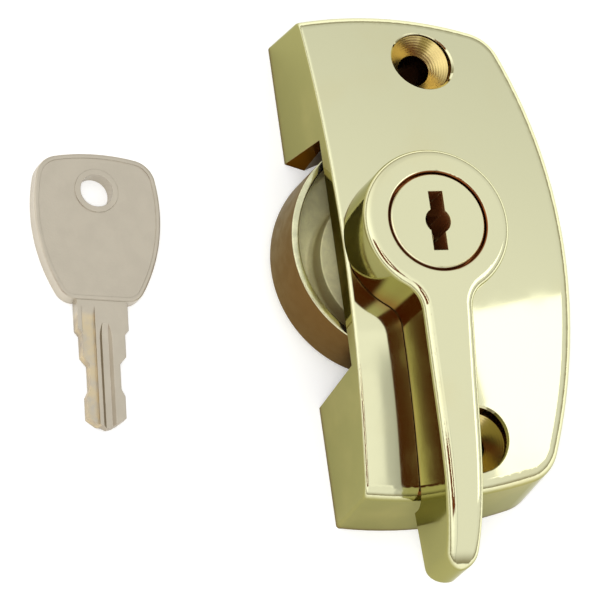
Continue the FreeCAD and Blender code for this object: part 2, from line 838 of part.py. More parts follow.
def key_bow_block(inset, z_low, z_high):
    """Key's bow as a block, its bowed top, full sides and shoulder moved in by an inset."""
    top_centre = V(key_bow_top_radius - key_bow_top, 0, 0)
    side_centre = V(key_bow_widest, key_bow_half - key_bow_side_radius, 0)
    side_radius = key_bow_side_radius - inset
    top_corner = other_end(circles_meet(
        other_end(side_centre), side_radius, other_end(top_centre), key_bow_top_radius - inset
    ))
    shoulder = key_bow_shoulder - inset
    rise = math.sqrt(side_radius ** 2 - (shoulder - side_centre.x) ** 2)
    low_corner = V(shoulder, side_centre.y + rise, 0)
    edges = [line(low_corner, other_side(low_corner))]
    edges.append(arc(other_side(top_corner), V(inset - key_bow_top, 0, 0), top_corner))
    widest = V(key_bow_widest, key_bow_half - inset, 0)
    for flip in (same, other_side):
        edges.append(arc(flip(top_corner), flip(widest), flip(low_corner)))
    bow = prism(edges, z_low, z_high)
    uprights = [e for e in bow.Edges if e.BoundBox.ZLength > (z_high - z_low) / 2]
    top_corners = [e for e in uprights if e.BoundBox.XMax < 0]
    bow = bow.makeFillet(key_bow_top_corner - inset, top_corners)
    uprights = [e for e in bow.Edges if e.BoundBox.ZLength > (z_high - z_low) / 2]
    low_corners = [e for e in uprights if e.BoundBox.XMin > key_bow_widest]
    return bow.makeFillet(key_bow_low_corner - inset, low_corners)


def key_bow():
    """Bow of the key, with a raised rim round its edge and round its hole."""
    bow = key_bow_block(0, 0, key_bow_thickness)
    flats = [f for f in bow.Faces if f.BoundBox.ZLength < running_gap]
    bow = bow.makeFillet(key_edge_round, [e for f in flats for e in f.Edges])
    cuts = [rod(key_hole_radius, -past, key_bow_thickness + past)]
    top_floor = key_bow_thickness - key_rim_height
    for low, high in ((-past, key_rim_height), (top_floor, key_bow_thickness + past)):
        panel = key_bow_block(key_rim_width, low, high)
        cuts.append(panel.cut(rod(key_hole_radius + key_hole_rim, low, high)))
    return bow.cut(cuts)


def key_blade():
    """Shank and blade with the same cuts on both edges and a bevelled tip."""
    points = [V(key_bow_shoulder - past, key_shank_half, 0), V(key_shank_end, key_shank_half, 0)]
    for start, end, half in zip(key_cut_starts, key_cut_ends, key_cut_halves):
        points += [V(start, half, 0), V(end, half, 0)]
    points += [V(key_tip - key_tip_bevel, key_tip_half, 0), V(key_tip, 0, 0)]
    points += [other_side(p) for p in reversed(points[:-1])]
    low = (key_bow_thickness - key_blade_thickness) / 2
    edges = [line(a, b) for a, b in zip(points, points[1:] + points[:1])]
    return prism(edges, low, low + key_blade_thickness)


def key_groove(middle, width, floor_width, start):
    """Long groove in the blade's upper face, running out where the round cutter left it.

    Where the floor is narrower than the groove, the cutter's rim is bevelled and leaves a point.
    """
    surface = (key_bow_thickness + key_blade_thickness) / 2
    floor = surface - key_groove_depth
    axis_height = floor + key_cutter_radius
    run_out = math.sqrt(key_cutter_radius ** 2 - (axis_height - surface) ** 2)
    lean = (width - floor_width) / 2
    past_share = (key_groove_depth + past) / key_groove_depth
    top_half = floor_width / 2 + lean * past_share
    section = Part.makePolygon([
        V(start + run_out, middle - floor_width / 2, floor),
        V(start + run_out, middle + floor_width / 2, floor),
        V(start + run_out, middle + top_half, surface + past),
        V(start + run_out, middle - top_half, surface + past),
        V(start + run_out, middle - floor_width / 2, floor)
    ])
    face = Part.Face(section)
    groove = face.extrude(V(key_tip + past - start - run_out, 0, 0))
    axis_point = V(start + run_out, middle, axis_height)
    turned = face.revolve(axis_point, V(0, 1, 0), 90)
    return groove.fuse(turned)


def key():
    """Double-edged key with a rimmed bow, stepped cuts and grooves along the blade."""
    blank = key_bow().fuse(key_blade())
    grooves = [
        key_groove(
            key_side_groove_middle, key_side_groove_width,
            key_side_groove_width, key_side_groove_start
        ),
        key_groove(
            key_centre_groove_middle, key_centre_groove_width,
            key_centre_groove_floor, key_centre_groove_start
        )
    ]
    for groove in list(grooves):
        under = groove.copy()
        under.rotate(V(0, 0, key_bow_thickness / 2), V(1, 0, 0), 180)
        grooves.append(under)
    blank = blank.cut(grooves).removeSplitter()
    blank.rotate(ORIGIN, UP, key_angle)
    blank.translate(V(key_hole_x, key_hole_y, 0))
    return blank


def save(name, shape):
    """Move one piece into the fastener's frame and write it."""
    shape = shape.copy()
    shape.translate(V(0, -pivot_to_screws, 0))
    shape.exportStep("parts/" + name + ".step")
    print(name, round(shape.Volume, 1), len(shape.Solids), len(shape.Faces), shape.isValid())


os.makedirs("parts", exist_ok=True)
save("body_casting", body_casting())
save("lever_handle", lever_handle())
save("cam_crescent", cam_crescent())
save("lock_plug", lock_plug())
save("locking_bolt", locking_bolt())
save("bearing_washer", bearing_washer())
save("wave_washer", wave_washer())
save("spindle_clip", spring_clip(spindle_clip_height, 90))
save("cam_clip", spring_clip(cam_clip_height, 0))
save("plug_snap_ring", plug_snap_ring())
for i in range(wafer_count):
    save("wafer_%d" % (i + 1), wafer(i))
    save("wafer_spring_%d" % (i + 1), wafer_spring(i))
save("key", key())
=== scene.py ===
import json
import math

import bmesh
import bpy
from bpy.props import FloatProperty, FloatVectorProperty, IntProperty, PointerProperty
from mathutils import Matrix, Vector


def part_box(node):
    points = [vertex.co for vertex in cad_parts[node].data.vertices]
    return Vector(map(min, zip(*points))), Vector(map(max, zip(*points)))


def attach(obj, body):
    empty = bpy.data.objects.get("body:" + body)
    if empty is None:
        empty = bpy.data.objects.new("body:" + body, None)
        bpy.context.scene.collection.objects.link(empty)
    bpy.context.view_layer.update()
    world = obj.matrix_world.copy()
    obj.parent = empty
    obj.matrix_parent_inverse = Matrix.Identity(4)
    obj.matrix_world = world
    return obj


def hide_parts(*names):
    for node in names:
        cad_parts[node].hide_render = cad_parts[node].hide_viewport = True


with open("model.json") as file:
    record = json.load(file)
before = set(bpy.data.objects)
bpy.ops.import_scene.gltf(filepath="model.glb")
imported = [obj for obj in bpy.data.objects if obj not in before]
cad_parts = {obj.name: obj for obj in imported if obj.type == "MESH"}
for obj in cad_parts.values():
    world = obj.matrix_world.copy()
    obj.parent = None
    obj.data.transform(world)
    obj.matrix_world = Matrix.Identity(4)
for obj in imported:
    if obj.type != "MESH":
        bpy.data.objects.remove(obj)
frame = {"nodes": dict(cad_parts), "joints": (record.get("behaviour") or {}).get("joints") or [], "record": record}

# Key-locking cam fastener for a sash window, dressed for display.
# The frame holds the solid pieces at their places. Here they get their finishes, the cam,
# springs and small steel pieces get finer meshes, and a studio is set up round them.

bl_info = {
    "name": "Sash Fastener Finish",
    "version": (1, 0, 0),
    "blender": (4, 5, 0),
    "location": "View3D > Sidebar > Fastener",
    "description": "Finishes a key-locking cam fastener for a sash window and its key",
    "category": "Object",
}

MM = 0.001
MERGE = 1e-6
SMOOTH_CAM = math.radians(30)
SMOOTH_STEEL = math.radians(35)
SMOOTH_WIRE = math.radians(50)
MOUNTS = {mount["name"]: mount for mount in frame["record"]["mounts"]}
JOINTS = {joint["name"]: joint for joint in frame["joints"]}
PIVOT = Vector(JOINTS["lever_turn"]["pos_m"])
SCREW_REACH = MOUNTS["screw_holes"]["dims"]["spacing_x_mm"] * MM / 2
KEY_HOLE = Vector(MOUNTS["key_ring_hole"]["pos_m"])
KEY_TURN = math.radians(-4.7)
KEY_MIDDLE = MOUNTS["key_ring_hole"]["dims"]["length_mm"] * MM / 2

# Where the finish of a piece or its painted shade changes: the casting's mouth and the brow above it,
# which take painted shade, the room that the cam turns in, above which painted shade reaches further,
# the cut screw seats with their rings, the lever's head, at whose foot painted shade reaches further,
# and the key's blade with its grooves.
MOUTH_HALF = 18.0 * MM
BROW_HALF = 11.0 * MM
BROW_LOW, BROW_HIGH = 14.5 * MM, 17.2 * MM
CAM_ROOM_TOP = 12.0 * MM
SEAT_RADIUS = 4.36 * MM
SEAT_PITCH = 0.28 * MM
HEAD_RADIUS = 12.0 * MM
BLADE_START = 18.0 * MM
GROOVE_TOP = 1.05 * MM
GROOVE_FLOOR = 0.80 * MM
GROOVE_SIDE = -0.8 * MM

WAFERS = [name for name in frame["nodes"] if name.startswith("wafer_") and "spring" not in name]
WAFER_SPRINGS = [name for name in frame["nodes"] if name.startswith("wafer_spring")]


def colour(name, text, value):
    """Colour that a user can change."""
    return FloatVectorProperty(name=name, description=text, subtype="COLOR", default=value)


def scaled(tone, share):
    """A colour at a share of its strength."""
    return [share * part for part in tone]


def length(name, text, value):
    """Length that a user can change, in metres."""
    return FloatProperty(name=name, description=text, subtype="DISTANCE", default=value, precision=5)


class FinishSizes(bpy.types.PropertyGroup):
    """Colours and textures of the metals, and the colours of their painted shade."""

    polished: colour("Polished Top", "Brass plating on faces that look up", (0.80, 0.79, 0.52))
    # Painted shade: the deeper colour that the plating's upright walls take.
    polished_wall_shade: colour("Polished Wall", "The same plating on upright walls", (0.305, 0.285, 0.10))
    edge_tint: colour("Edge Tint", "Plating at a grazing view", (0.80, 0.80, 0.65))
    # Painted shade: brown put in the casting's corners and bores, near other pieces, by its mouth and on its screw
    # seats' walls.
    recess_shade: colour("Recess", "Brass plating deep in corners and bores", (0.10, 0.022, 0.004))
    # Edge tint where painted shade lies on the casting.
    shade_edge: colour("Shade Edge", "Recessed plating at a grazing view", (0.62, 0.56, 0.44))
    seat: colour("Screw Seat", "Cut brass in the screws' countersinks", (0.78, 0.62, 0.26))
    satin: colour("Satin", "Satin brass in the cam's channel", (1.0, 0.97, 0.56))
    # Painted shade: brown put in the cam's channel corners and where the casting hangs over the cam.
    cam_shade: colour("Cam Recess", "Satin brass below the casting", (0.20, 0.085, 0.020))
    # Painted shade on the cam's outer wall, a darker copy of the satin.
    satin_wall_shade: colour("Satin Wall", "Outer wall of the cam", (0.17, 0.085, 0.022))
    bare_brass: colour("Bare Brass", "Brass without plating", (0.78, 0.62, 0.34))
    nickel: colour("Nickel", "Satin nickel plating of the key", (0.585, 0.525, 0.425))
    nickel_speck: colour("Nickel Speck", "Bright specks in the nickel's grain", (0.78, 0.74, 0.66))
    # Darker tone on the steep walls at the start of the key's grooves.
    nickel_shade: colour("Nickel Shade", "Dirt along the key's grooves", (0.22, 0.15, 0.08))
    nickel_edge: colour("Nickel Edge", "Rubbed edges of the key", (0.80, 0.76, 0.66))
    steel: colour("Steel", "Zinc-plated steel of the bolt", (0.56, 0.56, 0.54))
    steel_edge: colour("Steel Edge", "Rubbed edges of the bolt", (0.72, 0.72, 0.70))
    spring_steel: colour("Spring Steel", "Blued steel of clips and springs", (0.30, 0.30, 0.31))
    nylon: colour("Nylon", "Moulded bearing washer", (0.07, 0.068, 0.064))
    gloss: FloatProperty(
        name="Gloss Roughness", description="Roughness of the polished plating",
        subtype="FACTOR", min=0, max=1, default=0.06)
    # How far painted shade spreads: in the casting's inside, on walls near other pieces, further over the casting
    # above the cam, and at the foot of the lever's head.
    cavity_reach: length("Cavity Reach", "How near walls darken the casting's inside", 14.0 * MM)
    contact_reach: length("Contact Reach", "How near another piece browns a wall", 1.2 * MM)
    brow_reach: length("Brow Reach", "How much further it browns the casting's dome", 9.0 * MM)
    head_reach: length("Head Reach", "How much further it browns the lever's head", 4.0 * MM)
    # How far painted shade spreads in the cam's channel, and how far the casting's painted shadow reaches over the
    # cam.
    channel_reach: length("Channel Reach", "How near walls darken the cam's channel", 1.0 * MM)
    shelter_reach: length("Shelter Reach", "How near the casting browns the cam below it", 9.0 * MM)
    # Radius of the painted shade line in the gap round the plug's face.
    gap_radius: length("Gap Radius", "Radius of the dark line round the plug's face", 7.05 * MM)
    # Painted shade: brown put in the keyway, in the gap round the plug and at the foot of the lever's head.
    lock_recess_shade: colour("Lock Recess", "Brass in the keyway and round the plug", (0.24, 0.07, 0.018))
    edge_round: length("Edge Round", "Size of the soft round on sharp edges", 0.13 * MM)


class CamSizes(bpy.types.PropertyGroup):
    """Shape of the cam's crescent, about the pivot."""

    spiral_radius: length("Spiral Radius", "Outer radius of the rim straight ahead", 16.35 * MM)
    spiral_angle: FloatProperty(
        name="Spiral Angle", description="Direction in which the rim has its spiral radius",
        subtype="ANGLE", default=math.radians(-95))
    spiral_rate: length("Spiral Rate", "How much the rim winds inwards in each radian", 0.9626 * MM)
    rim_wall: length("Rim Wall", "Thickness of the rim at its top", 1.0 * MM)
    rim_thickening: length("Rim Thickening", "How much thicker the rim is at the floor", 0.5 * MM)
    floor_top: length("Floor Top", "Height of the channel's floor", 5.5 * MM)
    floor_bottom: length("Floor Bottom", "Height of the floor's underside", 3.4 * MM)
    step_radius: length("Step Radius", "Radius of the step inside the channel", 11.0 * MM)
    step_top: length("Step Top", "Height of the step and hub", 9.2 * MM)
    hub_radius: length("Hub Radius", "Radius of the hub below the step", 10.25 * MM)
    cut_back: length("Cut Back", "From the pivot to the crescent's straight ends", 2.65 * MM)
    channel_round: length("Channel Round", "Round along the channel's floor", 1.1 * MM)
    rim_round: length("Rim Round", "Round on the rim's top edges", 0.22 * MM)
    steps: IntProperty(name="Steps", description="Sections along the crescent", default=180, min=8)


class SpringSizes(bpy.types.PropertyGroup):
    """Springs inside the lock and the wavy washer."""

    coil_turns: FloatProperty(name="Coil Turns", description="Turns of each wafer spring", default=7.0)
    wire: length("Wire", "Thickness of the wafer springs' wire", 0.2 * MM)
    waves: IntProperty(name="Waves", description="Waves round the wavy washer", default=3)
    wave_sheet: length("Wave Sheet", "Thickness of the wavy washer's steel", 0.3 * MM)
    wave_width: length("Wave Width", "Width of the wavy washer's ring", 1.3 * MM)


class StageSizes(bpy.types.PropertyGroup):
    """Camera and studio."""

    camera_azimuth: FloatProperty(
        name="Camera Azimuth", description="Direction that the camera looks from, round the object",
        subtype="ANGLE", default=math.radians(40.11))
    camera_elevation: FloatProperty(
        name="Camera Elevation", description="Height of the camera above the horizon",
        subtype="ANGLE", default=math.radians(62.25))
    camera_roll: FloatProperty(
        name="Camera Roll", description="Turn of the camera about its line of sight",
        subtype="ANGLE", default=math.radians(45.2))
    camera_distance: length("Camera Distance", "From the camera to what it looks at", 1.2246)
    camera_lens: FloatProperty(
        name="Camera Lens", description="Focal length in millimetres", default=533.3)
    camera_target: FloatVectorProperty(
        name="Camera Target", description="Point that the camera looks at",
        subtype="TRANSLATION", default=(0.005129, -0.021051, 0.009))
    floor_reach: length("Floor Reach", "Half of the floor's side", 3.0)
    floor_glow: FloatProperty(
        name="Floor Glow", description="Whiteness that the floor adds where it is seen", default=0.30)


class Tree:
    """Adds nodes to one node tree and feeds their sockets."""

    def __init__(self, tree):
        self.nodes = tree.nodes
        self.links = tree.links

    def feed(self, socket, value):
        """Link a socket, or set it to a plain value; a colour needs no alpha."""
        if isinstance(value, bpy.types.NodeSocket):
            self.links.new(value, socket)
        elif socket.type == "RGBA":
            socket.default_value = (*value, 1)
        else:
            socket.default_value = value

    def add(self, kind, feeds=(), **settings):
        """New node with its settings and inputs."""
        node = self.nodes.new(kind)
        for name, value in settings.items():
            setattr(node, name, value)
        for key, value in dict(feeds).items():
            self.feed(node.inputs[key], value)
        return node

    def math(self, operation, *values):
        """Result of one calculation on numbers."""
        return self.add("ShaderNodeMath", enumerate(values), operation=operation).outputs[0]

    def vector(self, operation, *values):
        """Result of one calculation on vectors: a number for lengths and dot products."""
        node = self.add("ShaderNodeVectorMath", enumerate(values), operation=operation)
        return node.outputs["Value" if operation in ("LENGTH", "DOT_PRODUCT") else "Vector"]

    def between(self, value, low, high):
        """Smooth rise from 0 at low to 1 at high."""
        feeds = {"Value": value, "From Min": low, "From Max": high}
        return self.add("ShaderNodeMapRange", feeds, interpolation_type="SMOOTHSTEP").outputs["Result"]

    def split(self, vector):
        """X, Y and Z of a vector."""
        return self.add("ShaderNodeSeparateXYZ", {0: vector}).outputs

    def blend(self, share, first, second):
        """Mix of two colours."""
        node = self.add("ShaderNodeMix", data_type="RGBA")
        for index, value in ((0, share), (6, first), (7, second)):
            self.feed(node.inputs[index], value)
        return node.outputs[2]

    def place(self):
        """Position on the piece, in metres."""
        return self.add("ShaderNodeTexCoord").outputs["Object"]

    def from_axis(self, centre):
        """Distance from an upright axis, and the level offset from it."""
        offset = self.split(self.vector("SUBTRACT", self.place(), centre))
        flat = self.add("ShaderNodeCombineXYZ", {0: offset[0], 1: offset[1]}).outputs[0]
        return self.vector("LENGTH", flat), flat

    def facing(self):
        """X, Y and Z of the direction in which the piece's surface faces."""
        return self.split(self.add("ShaderNodeTexCoord").outputs["Normal"])

    def all_of(self, *masks):
        """Mask of where every one of the masks holds."""
        result = masks[0]
        for mask in masks[1:]:
            result = self.math("MULTIPLY", result, mask)
        return result

    def noise(self, vector, scale, detail=2.0):
        """Cloudy noise from 0 to 1."""
        feeds = {"Vector": vector, "Scale": scale, "Detail": detail}
        return self.add("ShaderNodeTexNoise", feeds).outputs[0]

    def shared(self, name, feeds=()):
        """One of the shared groups, which is built when it is first asked for."""
        if name not in bpy.data.node_groups:
            SHARED_GROUPS[name]()
        group = bpy.data.node_groups[name]
        return self.add("ShaderNodeGroup", feeds, node_tree=group).outputs


def new_group(name, inputs, outputs):
    """Shader group with named sockets, and what is needed to fill it."""
    group = bpy.data.node_groups.new(name, "ShaderNodeTree")
    for way, sockets in (("INPUT", inputs), ("OUTPUT", outputs)):
        for label, kind in sockets:
            group.interface.new_socket(label, in_out=way, socket_type="NodeSocket" + kind)
    tree = Tree(group)
    return tree, tree.add("NodeGroupInput").outputs, tree.add("NodeGroupOutput").inputs


def group_plating_with_painted_shade():
    """Plating with painted shade: pale on top, deeper on walls, brown where the piece's own walls crowd in, where
    other pieces come near and where a shade mask is given.
    """
    tree, given, result = new_group(
        "plated_tone",
        (("Top", "Color"), ("Wall", "Color"), ("Recess", "Color"), ("Reach", "Float"),
         ("Contact", "Float"), ("Painted Shade", "Float")),
        (("Color", "Color"), ("Wall", "Float")))
    # Upright walls take the deeper colour: painted shade.
    upward = tree.between(tree.facing()[2], 0.22, 0.72)
    # Painted shade in the piece's own corners and bores, where its walls crowd in.
    open_air = tree.add(
        "ShaderNodeAmbientOcclusion", {"Distance": given["Reach"]}, samples=4, only_local=True)
    crowded = tree.between(open_air.outputs["AO"], 0.74, 0.40)
    # Painted shade on walls where another piece comes near.
    nearby = tree.add("ShaderNodeAmbientOcclusion", {"Distance": given["Contact"]}, samples=4)
    touched = tree.between(nearby.outputs["AO"], 0.88, 0.56)
    touched = tree.math("MULTIPLY", touched, tree.math("SUBTRACT", 1.0, upward))
    crowded = tree.math("MAXIMUM", crowded, tree.math("MAXIMUM", touched, given["Painted Shade"]))
    tone = tree.blend(upward, given["Wall"], given["Top"])
    tree.feed(result["Color"], tree.blend(crowded, tone, given["Recess"]))
    tree.feed(result["Wall"], tree.math("SUBTRACT", 1.0, upward))


def group_buffing():
    """Slow ripples, fine buffing lines and smears left on polished metal."""
    tree, given, result = new_group(
        "buffing", (("Ripple", "Float"), ("Lines", "Float"), ("Smear", "Float")),
        (("Height", "Float"), ("Dulling", "Float"), ("Stain", "Float")))
    place = tree.place()
    ripple = tree.noise(place, 130.0, 1.0)
    along = tree.add("ShaderNodeMapping", {"Vector": place, "Scale": (60.0, 3200.0, 3200.0)})
    lines = tree.noise(along.outputs[0], 1.0)
    height = tree.math("MULTIPLY", ripple, given["Ripple"])
    tree.feed(result["Height"], tree.math("MULTIPLY_ADD", lines, given["Lines"], height))
    smears = tree.between(tree.noise(place, 110.0, 5.0), 0.48, 0.72)
    tree.feed(result["Dulling"], tree.math("MULTIPLY", smears, given["Smear"]))
    tree.feed(result["Stain"], tree.between(tree.noise(place, 70.0, 6.0), 0.50, 0.78))


def group_soft_edge():
    """Rounded normal along sharp edges, and a mask of the wear there."""
    tree, given, result = new_group(
        "soft_edge", (("Radius", "Float"), ("Wear", "Float")),
        (("Normal", "Vector"), ("Wear", "Float")))
    rounded = tree.add("ShaderNodeBevel", {"Radius": given["Radius"]}, samples=4).outputs[0]
    sharp = tree.add("ShaderNodeNewGeometry").outputs["Normal"]
    turned = tree.math("SUBTRACT", 1.0, tree.vector("DOT_PRODUCT", rounded, sharp))
    patchy = tree.between(tree.noise(tree.place(), 900.0), 0.30, 0.62)
    worn = tree.math("MULTIPLY", tree.between(turned, 0.01, 0.12), patchy)
    tree.feed(result["Normal"], rounded)
    tree.feed(result["Wear"], tree.math("MULTIPLY", worn, given["Wear"]))


def group_turned():
    """Fine rings that a lathe leaves about an upright axis."""
    tree, given, result = new_group(
        "turned", (("Centre", "Vector"), ("Pitch", "Float")), (("Height", "Float"),))
    distance, flat = tree.from_axis(given["Centre"])
    turns = tree.math("DIVIDE", distance, given["Pitch"])
    wobble = tree.math("MULTIPLY", tree.noise(flat, 500.0), 1.5)
    wave = tree.math("SINE", tree.math("MULTIPLY", tree.math("ADD", turns, wobble), math.tau))
    tree.feed(result["Height"], tree.math("MULTIPLY_ADD", wave, 0.5, 0.5))


def group_gap_shade_line():
    """Painted shade: a dark line in the gap between the plug and the lever."""
    tree, given, result = new_group(
        "gap_line", (("Centre", "Vector"), ("Radius", "Float")),
        (("Painted Shade", "Float"), ("Distance", "Float")))
    distance = tree.from_axis(given["Centre"])[0]
    off = tree.math("ABSOLUTE", tree.math("SUBTRACT", distance, given["Radius"]))
    tree.feed(result["Painted Shade"], tree.between(off, 0.30 * MM, 0.20 * MM))
    tree.feed(result["Distance"], distance)


def group_grain():
    """Granular skin of tumbled or cast metal: height and a mottle for colour."""
    tree, given, result = new_group(
        "grain", (("Size", "Float"),), (("Height", "Float"), ("Mottle", "Float")))
    place = tree.place()
    scale = tree.math("DIVIDE", 1.0, given["Size"])
    pits = tree.add("ShaderNodeTexVoronoi", {"Vector": place, "Scale": scale}).outputs["Distance"]
    cloud = tree.noise(place, scale, 3.0)
    tree.feed(result["Height"], tree.math("MULTIPLY_ADD", pits, 0.5, cloud))
    broad = tree.noise(place, tree.math("MULTIPLY", scale, 0.12), 4.0)
    tree.feed(result["Mottle"], tree.between(broad, 0.35, 0.65))


SHARED_GROUPS = {
    "plated_tone": group_plating_with_painted_shade, "buffing": group_buffing, "soft_edge": group_soft_edge,
    "turned": group_turned, "gap_line": group_gap_shade_line, "grain": group_grain}


def new_metal(name):
    """Metal with its tree and shader, ready for its nodes."""
    material = bpy.data.materials.new(name)
    material.use_nodes = True
    tree = Tree(material.node_tree)
    shader = tree.nodes["Principled BSDF"]
    shader.inputs["Metallic"].default_value = 1
    return material, tree, shader.inputs


def worn_surface(tree, inputs, tone, bare, height, wear, rounding, depth):
    """Colour with rubbed edges, and fine relief over soft edges. Gives the mask of the rubbing."""
    edge = tree.shared("soft_edge", {"Radius": rounding, "Wear": wear})
    tree.feed(inputs["Base Color"], tree.blend(edge["Wear"], tone, bare))
    bump = tree.add("ShaderNodeBump", {"Height": height, "Distance": depth, "Normal": edge["Normal"]})
    tree.feed(inputs["Normal"], bump.outputs[0])
    return edge["Wear"]


def casting_marks(tree, finish, place):
    """What only the casting has: painted shade by the mouth and brow, how far off other pieces paint shade on it,
    and cut screw seats with painted shade on their walls.
    """
    across, ahead, up = tree.facing()
    middle = tree.math("ABSOLUTE", place[0])
    # Painted shade on the sides of the mouth, and weaker on the front below the brow.
    mouth_sides = tree.all_of(
        tree.between(tree.math("ABSOLUTE", across), 0.5, 0.8),
        tree.between(middle, MOUTH_HALF + 0.5 * MM, MOUTH_HALF))
    above_mouth = tree.all_of(
        tree.between(middle, BROW_HALF + 5 * MM, BROW_HALF),
        tree.between(place[2], BROW_HIGH, BROW_LOW), tree.between(ahead, -0.7, -0.9), 0.3)
    shaded = tree.math("MAXIMUM", mouth_sides, above_mouth)
    # Above the cam's room, other pieces paint shade from further off.
    over_cam = tree.between(place[2], CAM_ROOM_TOP, CAM_ROOM_TOP + 0.8 * MM)
    contact = tree.math("MULTIPLY_ADD", over_cam, finish.brow_reach, finish.contact_reach)
    from_screw = tree.math("SUBTRACT", middle, SCREW_REACH)
    flat = tree.add("ShaderNodeCombineXYZ", {0: from_screw, 1: place[1]}).outputs[0]
    distance = tree.vector("LENGTH", flat)
    seat = tree.between(distance, SEAT_RADIUS + 0.1 * MM, SEAT_RADIUS)
    # Seat walls that don't look up take the painted recess shade.
    seat_shaded_tone = tree.blend(tree.between(up, 0.2, 0.6), finish.recess_shade, finish.seat)
    rings = tree.math("SINE", tree.math("MULTIPLY", distance, math.tau / SEAT_PITCH))
    return shaded, contact, seat, seat_shaded_tone, tree.all_of(rings, seat)


def polished_brass(name, finish, casting=False):
    """Bright plating of the lever, or of the casting with its cut screw seats, both with painted shade."""
    material, tree, inputs = new_metal(name)
    tree.feed(inputs["Specular Tint"], finish.edge_tint)
    if casting:
        recess_shade = finish.recess_shade
        painted_shade, contact, seat, seat_shaded_tone, rings = casting_marks(tree, finish, tree.split(tree.place()))
        # Where shade is painted on the casting, its edges take a dimmer tint too.
        tree.feed(inputs["Specular Tint"], tree.blend(painted_shade, finish.edge_tint, finish.shade_edge))
    else:
        recess_shade = finish.lock_recess_shade
        # Painted shade: a line in the gap round the plug, and shade reaching further at the foot of the lever's
        # head.
        line = tree.shared("gap_line", {"Centre": PIVOT, "Radius": finish.gap_radius})
        painted_shade = line["Painted Shade"]
        head = tree.between(line["Distance"], HEAD_RADIUS + 1.5 * MM, HEAD_RADIUS)
        contact = tree.math("MULTIPLY_ADD", head, finish.head_reach, finish.contact_reach)
    tone = tree.shared("plated_tone", {
        "Top": finish.polished, "Wall": finish.polished_wall_shade, "Recess": recess_shade,
        "Reach": finish.cavity_reach, "Contact": contact, "Painted Shade": painted_shade})
    marks = tree.shared("buffing", {"Ripple": 1.0, "Lines": 0.035, "Smear": 0.05})
    surface = tree.blend(tree.math("MULTIPLY", marks["Stain"], 0.16), tone["Color"], finish.seat)
    height = marks["Height"]
    dull = tree.math("MULTIPLY_ADD", tone["Wall"], 0.02, finish.gloss)
    dull = tree.math("ADD", dull, marks["Dulling"])
    if casting:
        surface = tree.blend(seat, surface, seat_shaded_tone)
        height = tree.math("MULTIPLY_ADD", rings, 0.7, height)
        dull = tree.math("MULTIPLY_ADD", seat, 0.16, dull)
    rubbed = worn_surface(
        tree, inputs, surface, finish.bare_brass, height,
        wear=0.5, rounding=finish.edge_round, depth=0.0025 * MM)
    tree.feed(inputs["Roughness"], tree.math("MULTIPLY_ADD", rubbed, 0.15, dull))
    return material


def satin_brass(name, finish, tint, roughness, wall_shade_share, metallic=1.0):
    """Plating over the cast skin of the cam, with painted shade on its walls, in its channel and where the casting
    hangs over it.
    """
    material, tree, inputs = new_metal(name)
    grain = tree.shared("grain", {"Size": 0.22 * MM})
    mottled = tree.blend(grain["Mottle"], tint, scaled(tint, 0.86))
    # Painted shadow on the cam where the casting hangs over it.
    sheltered = tree.add("ShaderNodeAmbientOcclusion", {"Distance": finish.shelter_reach}, samples=4)
    shade = tree.math("MULTIPLY", tree.between(sheltered.outputs["AO"], 0.30, 0.06), 0.8)
    tone = tree.shared("plated_tone", {
        "Top": mottled, "Wall": scaled(tint, wall_shade_share), "Painted Shade": shade,
        "Recess": finish.cam_shade, "Reach": finish.channel_reach, "Contact": 0.5 * MM})
    tree.feed(inputs["Specular Tint"], finish.edge_tint)
    tree.feed(inputs["Metallic"], metallic)
    tree.feed(inputs["Roughness"], tree.math("MULTIPLY_ADD", grain["Mottle"], 0.08, roughness))
    worn_surface(
        tree, inputs, tone["Color"], finish.bare_brass, grain["Height"],
        wear=0.6, rounding=finish.edge_round, depth=0.006 * MM)
    return material


def plug_brass(name, finish):
    """Turned face of the lock plug, with cut brass walls in its keyway, painted shade in the keyway's corners and
    a painted shade line in the gap round it.
    """
    material, tree, inputs = new_metal(name)
    tone = tree.shared("plated_tone", {
        "Top": finish.polished, "Wall": finish.seat,
        "Recess": finish.lock_recess_shade, "Reach": 0.5 * MM,
        "Painted Shade": tree.shared("gap_line", {"Centre": PIVOT, "Radius": finish.gap_radius})["Painted Shade"]})
    tree.feed(inputs["Specular Tint"], finish.edge_tint)
    tree.feed(inputs["Metallic"], tree.math("MULTIPLY_ADD", tone["Wall"], -0.55, 1.0))
    rings = tree.shared("turned", {"Centre": PIVOT, "Pitch": 0.16 * MM})
    marks = tree.shared("buffing", {"Ripple": 0.6, "Lines": 0.05, "Smear": 0.08})
    tree.feed(inputs["Roughness"], tree.math("ADD", marks["Dulling"], 0.17))
    height = tree.math("MULTIPLY_ADD", rings["Height"], 0.25, marks["Height"])
    worn_surface(
        tree, inputs, tone["Color"], finish.seat, height,
        wear=1.0, rounding=finish.edge_round, depth=0.003 * MM)
    return material


def stamped_brass(name, finish):
    """Wafers punched from brass sheet."""
    material, tree, inputs = new_metal(name)
    grain = tree.shared("grain", {"Size": 0.12 * MM})
    tint = tree.blend(grain["Mottle"], finish.bare_brass, finish.seat)
    tree.feed(inputs["Roughness"], tree.math("MULTIPLY_ADD", grain["Mottle"], 0.1, 0.26))
    worn_surface(
        tree, inputs, tint, finish.polished, grain["Height"],
        wear=1.0, rounding=0.06 * MM, depth=0.003 * MM)
    return material


